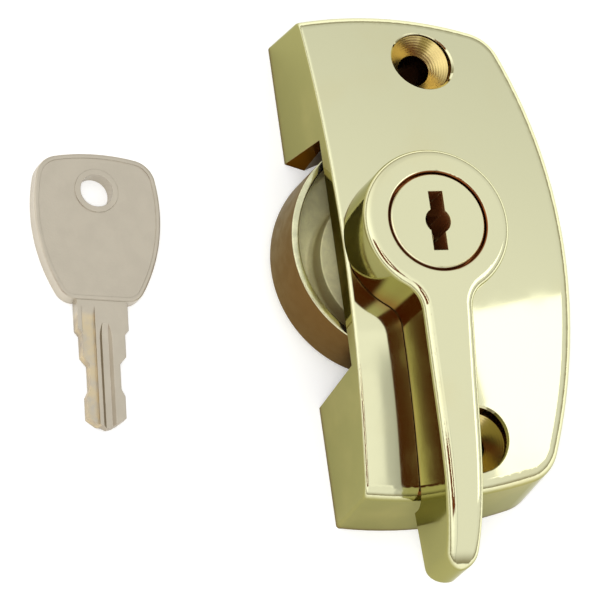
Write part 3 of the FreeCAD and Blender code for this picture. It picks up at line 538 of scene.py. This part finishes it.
def plated_steel(name, tint, edge_tint, roughness):
    """Steel of the bolt, clips and springs."""
    material, tree, inputs = new_metal(name)
    grain = tree.shared("grain", {"Size": 0.15 * MM})
    marks = tree.shared("buffing", {"Ripple": 0.5, "Lines": 0.6, "Smear": 0.12})
    mottled = tree.blend(grain["Mottle"], tint, scaled(tint, 0.82))
    tree.feed(inputs["Roughness"], tree.math("ADD", marks["Dulling"], roughness))
    worn_surface(
        tree, inputs, mottled, edge_tint, marks["Height"],
        wear=1.0, rounding=0.08 * MM, depth=0.003 * MM)
    return material


def moulded_nylon(name, finish):
    """Dark plastic of the bearing washer."""
    material, tree, inputs = new_metal(name)
    inputs["Metallic"].default_value = 0
    grain = tree.shared("grain", {"Size": 0.18 * MM})
    pale = scaled(finish.nylon, 2.2)
    share = tree.math("MULTIPLY", grain["Mottle"], 0.25)
    tint = tree.blend(share, finish.nylon, pale)
    tree.feed(inputs["Roughness"], tree.math("MULTIPLY_ADD", grain["Mottle"], 0.12, 0.42))
    worn_surface(
        tree, inputs, tint, pale, grain["Height"], wear=0.4, rounding=0.1 * MM, depth=0.004 * MM)
    return material


def nickel_key(name, finish):
    """Tumbled nickel, cut through to brass in the grooves and steps of the blade."""
    material, tree, inputs = new_metal(name)
    place = tree.place()
    from_hole = tree.add(
        "ShaderNodeMapping", {"Vector": place, "Location": -KEY_HOLE}, vector_type="POINT")
    x, y, z = tree.split(from_hole.outputs[0])
    cos, sin = math.cos(KEY_TURN), math.sin(KEY_TURN)
    along = tree.math("ADD", tree.math("MULTIPLY", x, cos), tree.math("MULTIPLY", y, sin))
    across = tree.math("SUBTRACT", tree.math("MULTIPLY", y, cos), tree.math("MULTIPLY", x, sin))
    from_middle = tree.math("ABSOLUTE", tree.math("SUBTRACT", z, KEY_MIDDLE))
    steep = tree.between(tree.math("ABSOLUTE", tree.facing()[2]), 0.95, 0.6)
    bare = tree.all_of(
        tree.between(from_middle, GROOVE_FLOOR + 0.18 * MM, GROOVE_FLOOR),
        tree.between(along, BLADE_START - 0.5 * MM, BLADE_START + 0.5 * MM),
        tree.between(across, GROOVE_SIDE, GROOVE_SIDE - 0.3 * MM),
        tree.between(tree.noise(place, 600.0, 3.0), 0.25, 0.65))
    # The steep walls at the start of the grooves take a darker tone.
    groove_walls = tree.all_of(
        steep, tree.between(along, BLADE_START, BLADE_START + MM),
        tree.between(from_middle, GROOVE_TOP + 0.1 * MM, GROOVE_TOP))
    grain = tree.shared("grain", {"Size": 0.34 * MM})
    fine = tree.shared("grain", {"Size": 0.10 * MM})
    marks = tree.shared("buffing", {"Ripple": 1.0, "Lines": 0.4, "Smear": 0.10})
    tint = tree.blend(grain["Mottle"], finish.nickel, scaled(finish.nickel, 0.95))
    tint = tree.blend(tree.math("MULTIPLY", fine["Height"], 0.12), tint, finish.nickel_speck)
    tint = tree.blend(tree.math("MULTIPLY", groove_walls, 0.45), tint, finish.nickel_shade)
    tint = tree.blend(tree.math("MULTIPLY", bare, 0.55), tint, finish.bare_brass)
    tree.feed(inputs["Roughness"], tree.math("ADD", marks["Dulling"], 0.34))
    height = tree.math("MULTIPLY_ADD", fine["Height"], 0.5, grain["Height"])
    worn_surface(
        tree, inputs, tint, finish.nickel_edge, height,
        wear=0.6, rounding=finish.edge_round, depth=0.010 * MM)
    return material


def new_object(name, mesh):
    """Object at the origin that holds a mesh."""
    piece = bpy.data.objects.new(name, mesh)
    bpy.context.scene.collection.objects.link(piece)
    return piece


def baked(piece):
    """The piece's mesh with its modifiers worked in; the modifiers are removed."""
    graph = bpy.context.evaluated_depsgraph_get()
    graph.update()
    mesh = bpy.data.meshes.new_from_object(piece.evaluated_get(graph), depsgraph=graph)
    piece.modifiers.clear()
    piece.data = mesh
    return mesh


def tidy_mesh(mesh, sharp_angle):
    """Merge doubles, face outwards and keep edges sharp where faces meet at more than an angle."""
    shape = bmesh.new()
    shape.from_mesh(mesh)
    bmesh.ops.remove_doubles(shape, verts=shape.verts, dist=MERGE)
    bmesh.ops.recalc_face_normals(shape, faces=shape.faces)
    for face in shape.faces:
        face.smooth = True
    for edge in shape.edges:
        edge.smooth = edge.is_manifold and edge.calc_face_angle(0) < sharp_angle
    shape.to_mesh(mesh)
    shape.free()


def copy_of(node, name):
    """Copy of a solid piece with its doubles merged and its flat faces made whole."""
    mesh = frame["nodes"][node].data.copy()
    shape = bmesh.new()
    shape.from_mesh(mesh)
    bmesh.ops.remove_doubles(shape, verts=shape.verts, dist=MERGE)
    bmesh.ops.dissolve_limit(
        shape, angle_limit=math.radians(0.1), verts=shape.verts, edges=shape.edges)
    shape.to_mesh(mesh)
    shape.free()
    return new_object(name, mesh)


def finish_piece(piece, material, body, slot, *nodes):
    """Give a new piece its material and body, and let it stand for its solids. The slot is not used."""
    piece.data.materials.clear()
    piece.data.materials.append(material)
    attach(piece, body)
    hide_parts(*nodes)


def rounded_copy(node, body, slot, material, width):
    """The solid's copy with a small round on every sharp edge."""
    piece = copy_of(node, node + "_rounded")
    tidy_mesh(piece.data, SMOOTH_STEEL)
    bevel = piece.modifiers.new("round", "BEVEL")
    bevel.width = width
    bevel.segments = 3
    bevel.limit_method = "ANGLE"
    bevel.angle_limit = SMOOTH_STEEL
    piece.modifiers.new("level", "WEIGHTED_NORMAL").keep_sharp = True
    baked(piece)
    finish_piece(piece, material, body, slot, node)
    return piece


def new_geometry_tree(name, inputs):
    """Geometry tree that takes and gives a shape, with named inputs."""
    group = bpy.data.node_groups.new(name, "GeometryNodeTree")
    face = group.interface
    face.new_socket("Geometry", in_out="INPUT", socket_type="NodeSocketGeometry")
    for label, kind in inputs:
        face.new_socket(label, in_out="INPUT", socket_type="NodeSocket" + kind)
    face.new_socket("Geometry", in_out="OUTPUT", socket_type="NodeSocketGeometry")
    tree = Tree(group)
    return group, tree, tree.add("NodeGroupInput").outputs, tree.add("NodeGroupOutput").inputs


def finish_tree(tree, result, geometry, material):
    """End a geometry tree as plain faces with one material."""
    real = tree.add("GeometryNodeRealizeInstances", {0: geometry})
    painted = tree.add("GeometryNodeSetMaterial", {"Geometry": real.outputs[0], "Material": material})
    tree.feed(result[0], painted.outputs[0])


def run_tree(piece, group, values):
    """Work a geometry tree into the piece's mesh."""
    modifier = piece.modifiers.new(group.name, "NODES")
    modifier.node_group = group
    for item in group.interface.items_tree:
        if item.in_out == "INPUT" and item.name in values:
            modifier[item.identifier] = values[item.name]
    baked(piece)


def cam_section(sizes, rim_top):
    """Section through the crescent as points: reach, lean, level.

    Lean is 1 where a point follows the winding rim and 0 where it keeps its radius."""
    # A hair above and below the hub's own faces, so that the two join without shared planes.
    top = sizes.step_top + 0.01 * MM
    bottom = sizes.floor_bottom - 0.01 * MM
    corners = (
        (0.0, 1, bottom, 0.3 * MM), (0.0, 1, rim_top, sizes.rim_round),
        (-sizes.rim_wall, 1, rim_top, sizes.rim_round),
        (-sizes.rim_wall - sizes.rim_thickening, 1, sizes.floor_top, sizes.channel_round),
        (sizes.step_radius, 0, sizes.floor_top, sizes.channel_round),
        (sizes.step_radius, 0, top, 0.15 * MM),
        (sizes.hub_radius - 0.2 * MM, 0, top, 0.0),
        (sizes.hub_radius - 0.2 * MM, 0, bottom, 0.0))
    flat = [Vector((reach + lean * sizes.spiral_radius, level)) for reach, lean, level, _ in corners]
    points = []
    for i, (reach, lean, level, size) in enumerate(corners):
        here, before, after = flat[i], flat[i - 1], flat[(i + 1) % len(flat)]
        if size == 0:
            points.append((reach, lean, level))
            continue
        back, ahead = (before - here).normalized(), (after - here).normalized()
        half = back.angle(ahead) / 2
        centre = here + (back + ahead).normalized() * (size / math.sin(half))
        start = here + back * (size / math.tan(half))
        arm = start - centre
        sweep = arm.angle_signed(here + ahead * (size / math.tan(half)) - centre)
        steps = 6
        for k in range(steps + 1):
            turn = -sweep * k / steps
            spot = centre + Vector((
                arm.x * math.cos(turn) - arm.y * math.sin(turn),
                arm.x * math.sin(turn) + arm.y * math.cos(turn)))
            points.append((spot.x - lean * sizes.spiral_radius, lean, spot.y))
    return points


def cam_tree():
    """Sweeps the section round the pivot: the rim winds, and both ends lie on one straight cut."""
    group, tree, given, result = new_geometry_tree("cam_rim", (
        ("Spiral Radius", "Float"), ("Spiral Rate", "Float"), ("Spiral Angle", "Float"),
        ("Cut Back", "Float"), ("Steps", "Int"), ("Pivot", "Vector"), ("Material", "Material")))
    rail = tree.add("GeometryNodeCurvePrimitiveLine", {"End": (1.0, 0.0, 0.0)})
    rail = tree.add("GeometryNodeResampleCurve", {"Curve": rail.outputs[0], "Count": given["Steps"]})
    section = tree.add("GeometryNodeMeshToCurve", {0: given["Geometry"]})
    swept = tree.add("GeometryNodeCurveToMesh", {
        "Curve": rail.outputs[0], "Profile Curve": section.outputs[0], "Fill Caps": True})
    reach, lean, level = [
        tree.add("GeometryNodeInputNamedAttribute", {"Name": name}, data_type="FLOAT").outputs[0]
        for name in ("reach", "lean", "level")]
    turn = tree.split(tree.add("GeometryNodeInputPosition").outputs[0])[0]

    def radius(angle):
        past = tree.math("SUBTRACT", angle, given["Spiral Angle"])
        wound = tree.math("MULTIPLY", past, given["Spiral Rate"])
        rim = tree.math("SUBTRACT", given["Spiral Radius"], wound)
        return tree.math("MULTIPLY_ADD", lean, rim, reach)

    nominal = tree.math("MULTIPLY_ADD", turn, math.pi, -math.pi)
    trim = tree.math("ARCSINE", tree.math("DIVIDE", given["Cut Back"], radius(nominal)))
    span = tree.math("MULTIPLY_ADD", trim, -2.0, math.pi)
    start = tree.math("SUBTRACT", trim, math.pi)
    angle = tree.math("MULTIPLY_ADD", turn, span, start)
    spot = radius(angle)
    x = tree.math("MULTIPLY", spot, tree.math("COSINE", angle))
    y = tree.math("MULTIPLY", spot, tree.math("SINE", angle))
    position = tree.add("ShaderNodeCombineXYZ", {0: x, 1: y, 2: level}).outputs[0]
    position = tree.vector("ADD", position, given["Pivot"])
    moved = tree.add("GeometryNodeSetPosition", {"Geometry": swept.outputs[0], "Position": position})
    finish_tree(tree, result, moved.outputs[0], given["Material"])
    return group


def join_solids(piece, other, operation):
    """Combine two closed pieces; the other one is used up."""
    modifier = piece.modifiers.new("combine", "BOOLEAN")
    modifier.operation = operation
    modifier.solver = "EXACT"
    modifier.object = other
    baked(piece)
    bpy.data.objects.remove(other)


def upright_rod(name, radius, low, high):
    """Round rod about the pivot."""
    shape = bmesh.new()
    place = Matrix.Translation(PIVOT + Vector((0, 0, (low + high) / 2)))
    bmesh.ops.create_cone(
        shape, cap_ends=True, segments=192, radius1=radius, radius2=radius, depth=high - low,
        matrix=place)
    mesh = bpy.data.meshes.new(name)
    shape.to_mesh(mesh)
    shape.free()
    return new_object(name, mesh)


def coil_tree():
    """A coil on each point, its axis along X."""
    group, tree, given, result = new_geometry_tree("wafer_coils", (
        ("Length", "Float"), ("Radius", "Float"), ("Wire", "Float"), ("Turns", "Float"),
        ("Material", "Material")))
    path = tree.add("GeometryNodeCurveSpiral", {
        "Resolution": 20, "Rotations": given["Turns"], "Start Radius": given["Radius"],
        "End Radius": given["Radius"], "Height": given["Length"]})
    half = tree.math("MULTIPLY", given["Length"], -0.5)
    laid = tree.add("GeometryNodeTransform", {
        "Geometry": path.outputs[0], "Rotation": (0.0, math.pi / 2, 0.0),
        "Translation": tree.add("ShaderNodeCombineXYZ", {0: half}).outputs[0]})
    wire = tree.add("GeometryNodeCurvePrimitiveCircle", {"Resolution": 10, "Radius": given["Wire"]})
    coil = tree.add("GeometryNodeCurveToMesh", {
        "Curve": laid.outputs[0], "Profile Curve": wire.outputs[0], "Fill Caps": True})
    placed = tree.add("GeometryNodeInstanceOnPoints", {
        "Points": given["Geometry"], "Instance": coil.outputs[0]})
    finish_tree(tree, result, placed.outputs[0], given["Material"])
    return group


def wave_tree():
    """Flat ring that rises and falls as it goes round."""
    group, tree, given, result = new_geometry_tree("wave_ring", (
        ("Radius", "Float"), ("Width", "Float"), ("Sheet", "Float"), ("Swing", "Float"),
        ("Waves", "Float"), ("Centre", "Vector"), ("Material", "Material")))
    circle = tree.add("GeometryNodeCurvePrimitiveCircle", {
        "Resolution": 144, "Radius": given["Radius"]})
    strip = tree.add("GeometryNodeCurvePrimitiveQuadrilateral", {
        "Width": given["Sheet"], "Height": given["Width"]})
    soft = tree.add("GeometryNodeFilletCurve", {
        "Curve": strip.outputs[0], "Radius": tree.math("MULTIPLY", given["Sheet"], 0.3)})
    ring = tree.add("GeometryNodeCurveToMesh", {
        "Curve": circle.outputs[0], "Profile Curve": soft.outputs[0]})
    parts = tree.split(tree.add("GeometryNodeInputPosition").outputs[0])
    round_angle = tree.math("ARCTAN2", parts[1], parts[0])
    wave = tree.math("COSINE", tree.math("MULTIPLY", round_angle, given["Waves"]))
    lift = tree.add("ShaderNodeCombineXYZ", {2: tree.math("MULTIPLY", wave, given["Swing"])})
    offset = tree.vector("ADD", lift.outputs[0], given["Centre"])
    moved = tree.add("GeometryNodeSetPosition", {"Geometry": ring.outputs[0], "Offset": offset})
    finish_tree(tree, result, moved.outputs[0], given["Material"])
    return group


# Name, centre, span, turn about the upright and radiance. These hang level, and polished
# metal mirrors them.
SOFTBOXES = (
    ("right_softbox", (0.078, 0.489, 0.60), (0.42, 0.30), math.radians(15), 0.95),
    ("left_softbox", (0.155, 0.037, 0.60), (0.42, 0.24), 0.0, 0.09),
)
# Centre, span and radiance of the lamp that only fills the shade. It is turned to the fastener.
FILL_LAMP = ((0.33, -0.40, 1.00), (0.25, 0.25), 15.0)


def hung_lamp(name, centre, span, radiance):
    """Rectangular lamp as bright all over as its radiance says."""
    data = bpy.data.lights.new(name, "AREA")
    data.shape = "RECTANGLE"
    data.size, data.size_y = span
    data.energy = radiance * math.pi * span[0] * span[1]
    lamp = new_object(name, data)
    lamp.location = centre
    return lamp


def studio_world():
    """Pale studio, darker towards the horizon, with what polished metal mirrors from it."""
    world = bpy.data.worlds.new("studio")
    world.use_nodes = True
    world.node_tree.nodes.clear()
    tree = Tree(world.node_tree)
    x, y, z = tree.split(tree.add("ShaderNodeTexCoord").outputs["Generated"])
    rays = tree.add("ShaderNodeLightPath").outputs
    # Darker to the left, paler to the front
    level = tree.math("MULTIPLY_ADD", tree.math("MINIMUM", x, -0.25), 0.33, 1.06)
    level = tree.math("MULTIPLY_ADD", y, -0.16, level)
    level = tree.math("MULTIPLY_ADD", tree.math("MINIMUM", y, 0.0), -0.34, level)
    # Grey bar that the dome mirrors as a line
    bar = tree.all_of(
        tree.between(y, 0.245, 0.255), tree.between(y, 0.325, 0.305), tree.between(x, -0.10, -0.02))
    level = tree.math("MULTIPLY", level, tree.math("MULTIPLY_ADD", bar, -0.5, 1.0))
    blue = tree.math("MULTIPLY", level, 0.98)
    pale = tree.add("ShaderNodeCombineColor", {0: level, 1: level, 2: blue}).outputs[0]
    sky = tree.blend(tree.between(z, 0.0, 0.45), (0.33, 0.30, 0.22), pale)
    # Painted reflection: a brown card in front with a bright slot, seen only by mirrored rays; mirrored twice, it
    # reaches further to the left
    again = tree.math("MINIMUM", tree.math("SUBTRACT", rays["Glossy Depth"], 1.0), 1.0)
    card_side = tree.between(tree.math("MULTIPLY_ADD", again, 0.11, x), -0.06, 0.0)
    slot = tree.all_of(
        tree.between(y, -0.450, -0.442), tree.between(y, -0.33, -0.345), tree.between(x, 0.36, 0.30))
    lit = tree.all_of(slot, card_side, rays["Is Glossy Ray"])
    sky = tree.blend(lit, sky, (2.0, 2.0, 1.9))
    card = tree.all_of(
        card_side, tree.between(y, -0.08, -0.14), tree.between(x, 0.52, 0.44),
        tree.math("SUBTRACT", 1.0, slot), tree.between(z, 0.50, 0.62), rays["Is Glossy Ray"])
    sky = tree.blend(card, sky, (0.17, 0.042, 0.010))
    back = tree.add("ShaderNodeBackground", {"Color": sky})
    tree.add("ShaderNodeOutputWorld", {"Surface": back.outputs[0]})
    return world


def floor_paper(glow):
    """White paper that keeps the shadow: it adds whiteness only where it is seen or mirrored."""
    material = bpy.data.materials.new("floor_paper")
    material.use_nodes = True
    material.node_tree.nodes.clear()
    tree = Tree(material.node_tree)
    rays = tree.add("ShaderNodeLightPath").outputs
    # In mirrors the added whiteness fades near the pieces: painted shade on the floor as mirrored.
    open_floor = tree.add("ShaderNodeAmbientOcclusion", {"Distance": 30 * MM}, samples=4)
    mirrored = tree.math("MULTIPLY", rays["Is Glossy Ray"], open_floor.outputs["AO"])
    seen = tree.math("ADD", rays["Is Camera Ray"], mirrored)
    seen = tree.math("ADD", seen, rays["Is Transmission Ray"])
    paper = tree.add("ShaderNodeBsdfDiffuse", {"Color": (0.86, 0.86, 0.86)})
    white = tree.add("ShaderNodeEmission", {"Strength": tree.math("MULTIPLY", seen, glow)})
    both = tree.add("ShaderNodeAddShader", {0: paper.outputs[0], 1: white.outputs[0]})
    tree.add("ShaderNodeOutputMaterial", {"Surface": both.outputs[0]})
    return material


class FASTENER_OT_stage(bpy.types.Operator):
    """Make the floor, lamps, world and camera"""
    bl_idname = "fastener.stage"
    bl_label = "Studio"

    def execute(self, context):
        scene = context.scene
        sizes = scene.fastener_stage
        scene.view_settings.view_transform = "Standard"
        reach = sizes.floor_reach
        mesh = bpy.data.meshes.new("floor")
        corners = [(-reach, -reach, 0), (reach, -reach, 0), (reach, reach, 0), (-reach, reach, 0)]
        mesh.from_pydata(corners, [], [(0, 1, 2, 3)])
        mesh.materials.append(floor_paper(sizes.floor_glow))
        new_object("floor", mesh)
        scene.world = studio_world()
        for name, centre, span, turn, radiance in SOFTBOXES:
            hung_lamp(name, centre, span, radiance).rotation_euler.z = turn
        fill = hung_lamp("fill_softbox", *FILL_LAMP)
        fill.rotation_euler = fill.location.to_track_quat("Z", "Y").to_euler()
        fill.visible_glossy = False
        data = bpy.data.cameras.new("camera")
        data.lens = sizes.camera_lens
        data.clip_end = 20
        a, e, roll = sizes.camera_azimuth, sizes.camera_elevation, sizes.camera_roll
        back = Vector((math.sin(a) * math.cos(e), -math.cos(a) * math.cos(e), math.sin(e)))
        turn = back.to_track_quat("Z", "Y").to_matrix().to_4x4() @ Matrix.Rotation(roll, 4, "Z")
        camera = new_object("camera", data)
        place = Vector(sizes.camera_target) + back * sizes.camera_distance
        camera.matrix_world = Matrix.Translation(place) @ turn
        scene.camera = camera
        return {"FINISHED"}


class FASTENER_OT_castings(bpy.types.Operator):
    """Polish the body casting and the lever, with painted shade"""
    bl_idname = "fastener.castings"
    bl_label = "Body and Lever"

    def execute(self, context):
        finish = context.scene.fastener_finish
        body = polished_brass("body_brass", finish, casting=True)
        frame["nodes"]["body_casting"].material_slots[0].material = body
        lever = polished_brass("lever_brass", finish)
        frame["nodes"]["lever_handle"].material_slots[0].material = lever
        return {"FINISHED"}


class FASTENER_OT_cam(bpy.types.Operator):
    """Sweep the cam's crescent round its hub"""
    bl_idname = "fastener.cam"
    bl_label = "Cam"

    def execute(self, context):
        sizes = context.scene.fastener_cam
        finish = context.scene.fastener_finish
        satin = satin_brass(
            "cam_satin", finish, finish.satin, roughness=0.42, wall_shade_share=0.7, metallic=0.32)
        wall = satin_brass("cam_wall", finish, finish.satin_wall_shade, roughness=0.34, wall_shade_share=0.9)
        bright = satin_brass("cam_rim", finish, finish.polished, roughness=0.16, wall_shade_share=0.8)
        low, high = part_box("cam_crescent")
        points = cam_section(sizes, high[2])
        mesh = bpy.data.meshes.new("cam_crescent_swept")
        ring = [(i, (i + 1) % len(points)) for i in range(len(points))]
        mesh.from_pydata([(reach, level, 0.0) for reach, lean, level in points], ring, [])
        for name, values in zip(("reach", "lean", "level"), zip(*points)):
            mesh.attributes.new(name, "FLOAT", "POINT").data.foreach_set("value", values)
        piece = new_object("cam_crescent_swept", mesh)
        run_tree(piece, cam_tree(), {
            "Spiral Radius": sizes.spiral_radius, "Spiral Rate": sizes.spiral_rate,
            "Spiral Angle": sizes.spiral_angle, "Cut Back": sizes.cut_back,
            "Steps": sizes.steps, "Pivot": PIVOT, "Material": satin})
        tidy_mesh(piece.data, SMOOTH_CAM)
        hub = copy_of("cam_crescent", "hub")
        core = upright_rod("core", sizes.hub_radius - 0.02 * MM, low[2] - MM, high[2])
        join_solids(hub, core, "INTERSECT")
        join_solids(piece, hub, "UNION")
        tidy_mesh(piece.data, SMOOTH_CAM)
        finish_piece(piece, satin, "lever", "satin_brass", "cam_crescent")
        piece.data.materials.append(wall)
        piece.data.materials.append(bright)
        # Outward faces take the darker copy, painted shade on the cam's outer wall; the rim's top takes the
        # glossier brass.
        for face in piece.data.polygons:
            arm = (face.center - PIVOT).to_2d()
            outward = face.normal.to_2d().dot(arm.normalized())
            if face.center.z > high[2] - sizes.rim_round and face.normal.z > 0.3:
                face.material_index = 2
            elif outward > 0.7 and arm.length > sizes.step_radius + MM:
                face.material_index = 1
        return {"FINISHED"}


class FASTENER_OT_plug(bpy.types.Operator):
    """Finish the lock plug and its wafers"""
    bl_idname = "fastener.plug"
    bl_label = "Plug and Wafers"

    def execute(self, context):
        finish = context.scene.fastener_finish
        frame["nodes"]["lock_plug"].material_slots[0].material = plug_brass("plug_face", finish)
        wafer = stamped_brass("wafer_sheet", finish)
        for node in WAFERS:
            rounded_copy(node, node, "wafer_brass", wafer, 0.06 * MM)
        return {"FINISHED"}


class FASTENER_OT_springs(bpy.types.Operator):
    """Wind the wafer springs and wave the spring washer"""
    bl_idname = "fastener.springs"
    bl_label = "Springs"

    def execute(self, context):
        sizes = context.scene.fastener_springs
        finish = context.scene.fastener_finish
        steel = plated_steel("spring_wire", finish.spring_steel, finish.steel, roughness=0.24)
        boxes = [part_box(node) for node in WAFER_SPRINGS]
        span = Vector(boxes[0][1]) - Vector(boxes[0][0])
        mesh = bpy.data.meshes.new("wafer_spring_coils")
        mesh.from_pydata([(Vector(low) + Vector(high)) / 2 for low, high in boxes], [], [])
        coils = new_object("wafer_spring_coils", mesh)
        run_tree(coils, coil_tree(), {
            "Length": span.x - sizes.wire, "Radius": (span.z - sizes.wire) / 2,
            "Wire": sizes.wire / 2, "Turns": sizes.coil_turns, "Material": steel})
        tidy_mesh(coils.data, SMOOTH_WIRE)
        finish_piece(coils, steel, "plug", "spring_steel", *WAFER_SPRINGS)
        low, high = [Vector(corner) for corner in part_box("wave_washer")]
        wave = new_object("wave_washer_formed", bpy.data.meshes.new("wave_washer_formed"))
        run_tree(wave, wave_tree(), {
            "Radius": (high.x - low.x - sizes.wave_width) / 2, "Width": sizes.wave_width,
            "Sheet": sizes.wave_sheet, "Swing": (high.z - low.z - sizes.wave_sheet) / 2,
            "Waves": float(sizes.waves), "Centre": (low + high) / 2, "Material": steel})
        tidy_mesh(wave.data, SMOOTH_WIRE)
        finish_piece(wave, steel, "body", "spring_steel", "wave_washer")
        return {"FINISHED"}


class FASTENER_OT_small_steel(bpy.types.Operator):
    """Round the edges of the clips, the plug's ring, the bolt and the bearing washer"""
    bl_idname = "fastener.small_steel"
    bl_label = "Clips, Bolt and Washer"

    def execute(self, context):
        finish = context.scene.fastener_finish
        blued = plated_steel("clip_steel", finish.spring_steel, finish.steel, roughness=0.26)
        for node in ("spindle_clip", "cam_clip", "plug_snap_ring"):
            rounded_copy(node, "lever", "spring_steel", blued, 0.08 * MM)
        zinc = plated_steel("bolt_steel", finish.steel, finish.steel_edge, roughness=0.28)
        rounded_copy("locking_bolt", "bolt", "steel", zinc, 0.12 * MM)
        nylon = moulded_nylon("washer_nylon", finish)
        rounded_copy("bearing_washer", "body", "plastic_washer", nylon, 0.12 * MM)
        return {"FINISHED"}


class FASTENER_OT_key(bpy.types.Operator):
    """Finish the key"""
    bl_idname = "fastener.key"
    bl_label = "Key"

    def execute(self, context):
        finish = context.scene.fastener_finish
        frame["nodes"]["key"].material_slots[0].material = nickel_key("key_nickel", finish)
        return {"FINISHED"}


OPERATORS = (
    FASTENER_OT_stage, FASTENER_OT_castings, FASTENER_OT_cam, FASTENER_OT_plug,
    FASTENER_OT_springs, FASTENER_OT_small_steel, FASTENER_OT_key)


class FASTENER_PT_sidebar(bpy.types.Panel):
    """Lists what makes each part of the fastener, and the sizes and colours it uses"""
    bl_idname = "FASTENER_PT_sidebar"
    bl_label = "Sash Fastener"
    bl_space_type = "VIEW_3D"
    bl_region_type = "UI"
    bl_category = "Fastener"

    def draw(self, context):
        column = self.layout.column()
        for operator in OPERATORS:
            column.operator(operator.bl_idname)
        for name, cls in PROPERTIES.items():
            sizes = getattr(context.scene, name)
            for key in cls.__annotations__:
                column.prop(sizes, key)


PROPERTIES = {
    "fastener_finish": FinishSizes, "fastener_cam": CamSizes,
    "fastener_springs": SpringSizes, "fastener_stage": StageSizes}
CLASSES = (*PROPERTIES.values(), *OPERATORS, FASTENER_PT_sidebar)


def register():
    for cls in CLASSES:
        bpy.utils.register_class(cls)
    for name, cls in PROPERTIES.items():
        setattr(bpy.types.Scene, name, PointerProperty(type=cls))


def unregister():
    for name in PROPERTIES:
        delattr(bpy.types.Scene, name)
    for cls in reversed(CLASSES):
        bpy.utils.unregister_class(cls)


def main():
    for name in ("Cube", "Light", "Camera"):
        if name in bpy.data.objects:
            bpy.data.objects.remove(bpy.data.objects[name])
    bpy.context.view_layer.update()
    register()
    bpy.ops.fastener.stage()
    bpy.ops.fastener.castings()
    bpy.ops.fastener.cam()
    bpy.ops.fastener.plug()
    bpy.ops.fastener.springs()
    bpy.ops.fastener.small_steel()
    bpy.ops.fastener.key()


if __name__ == "__main__":
    main()
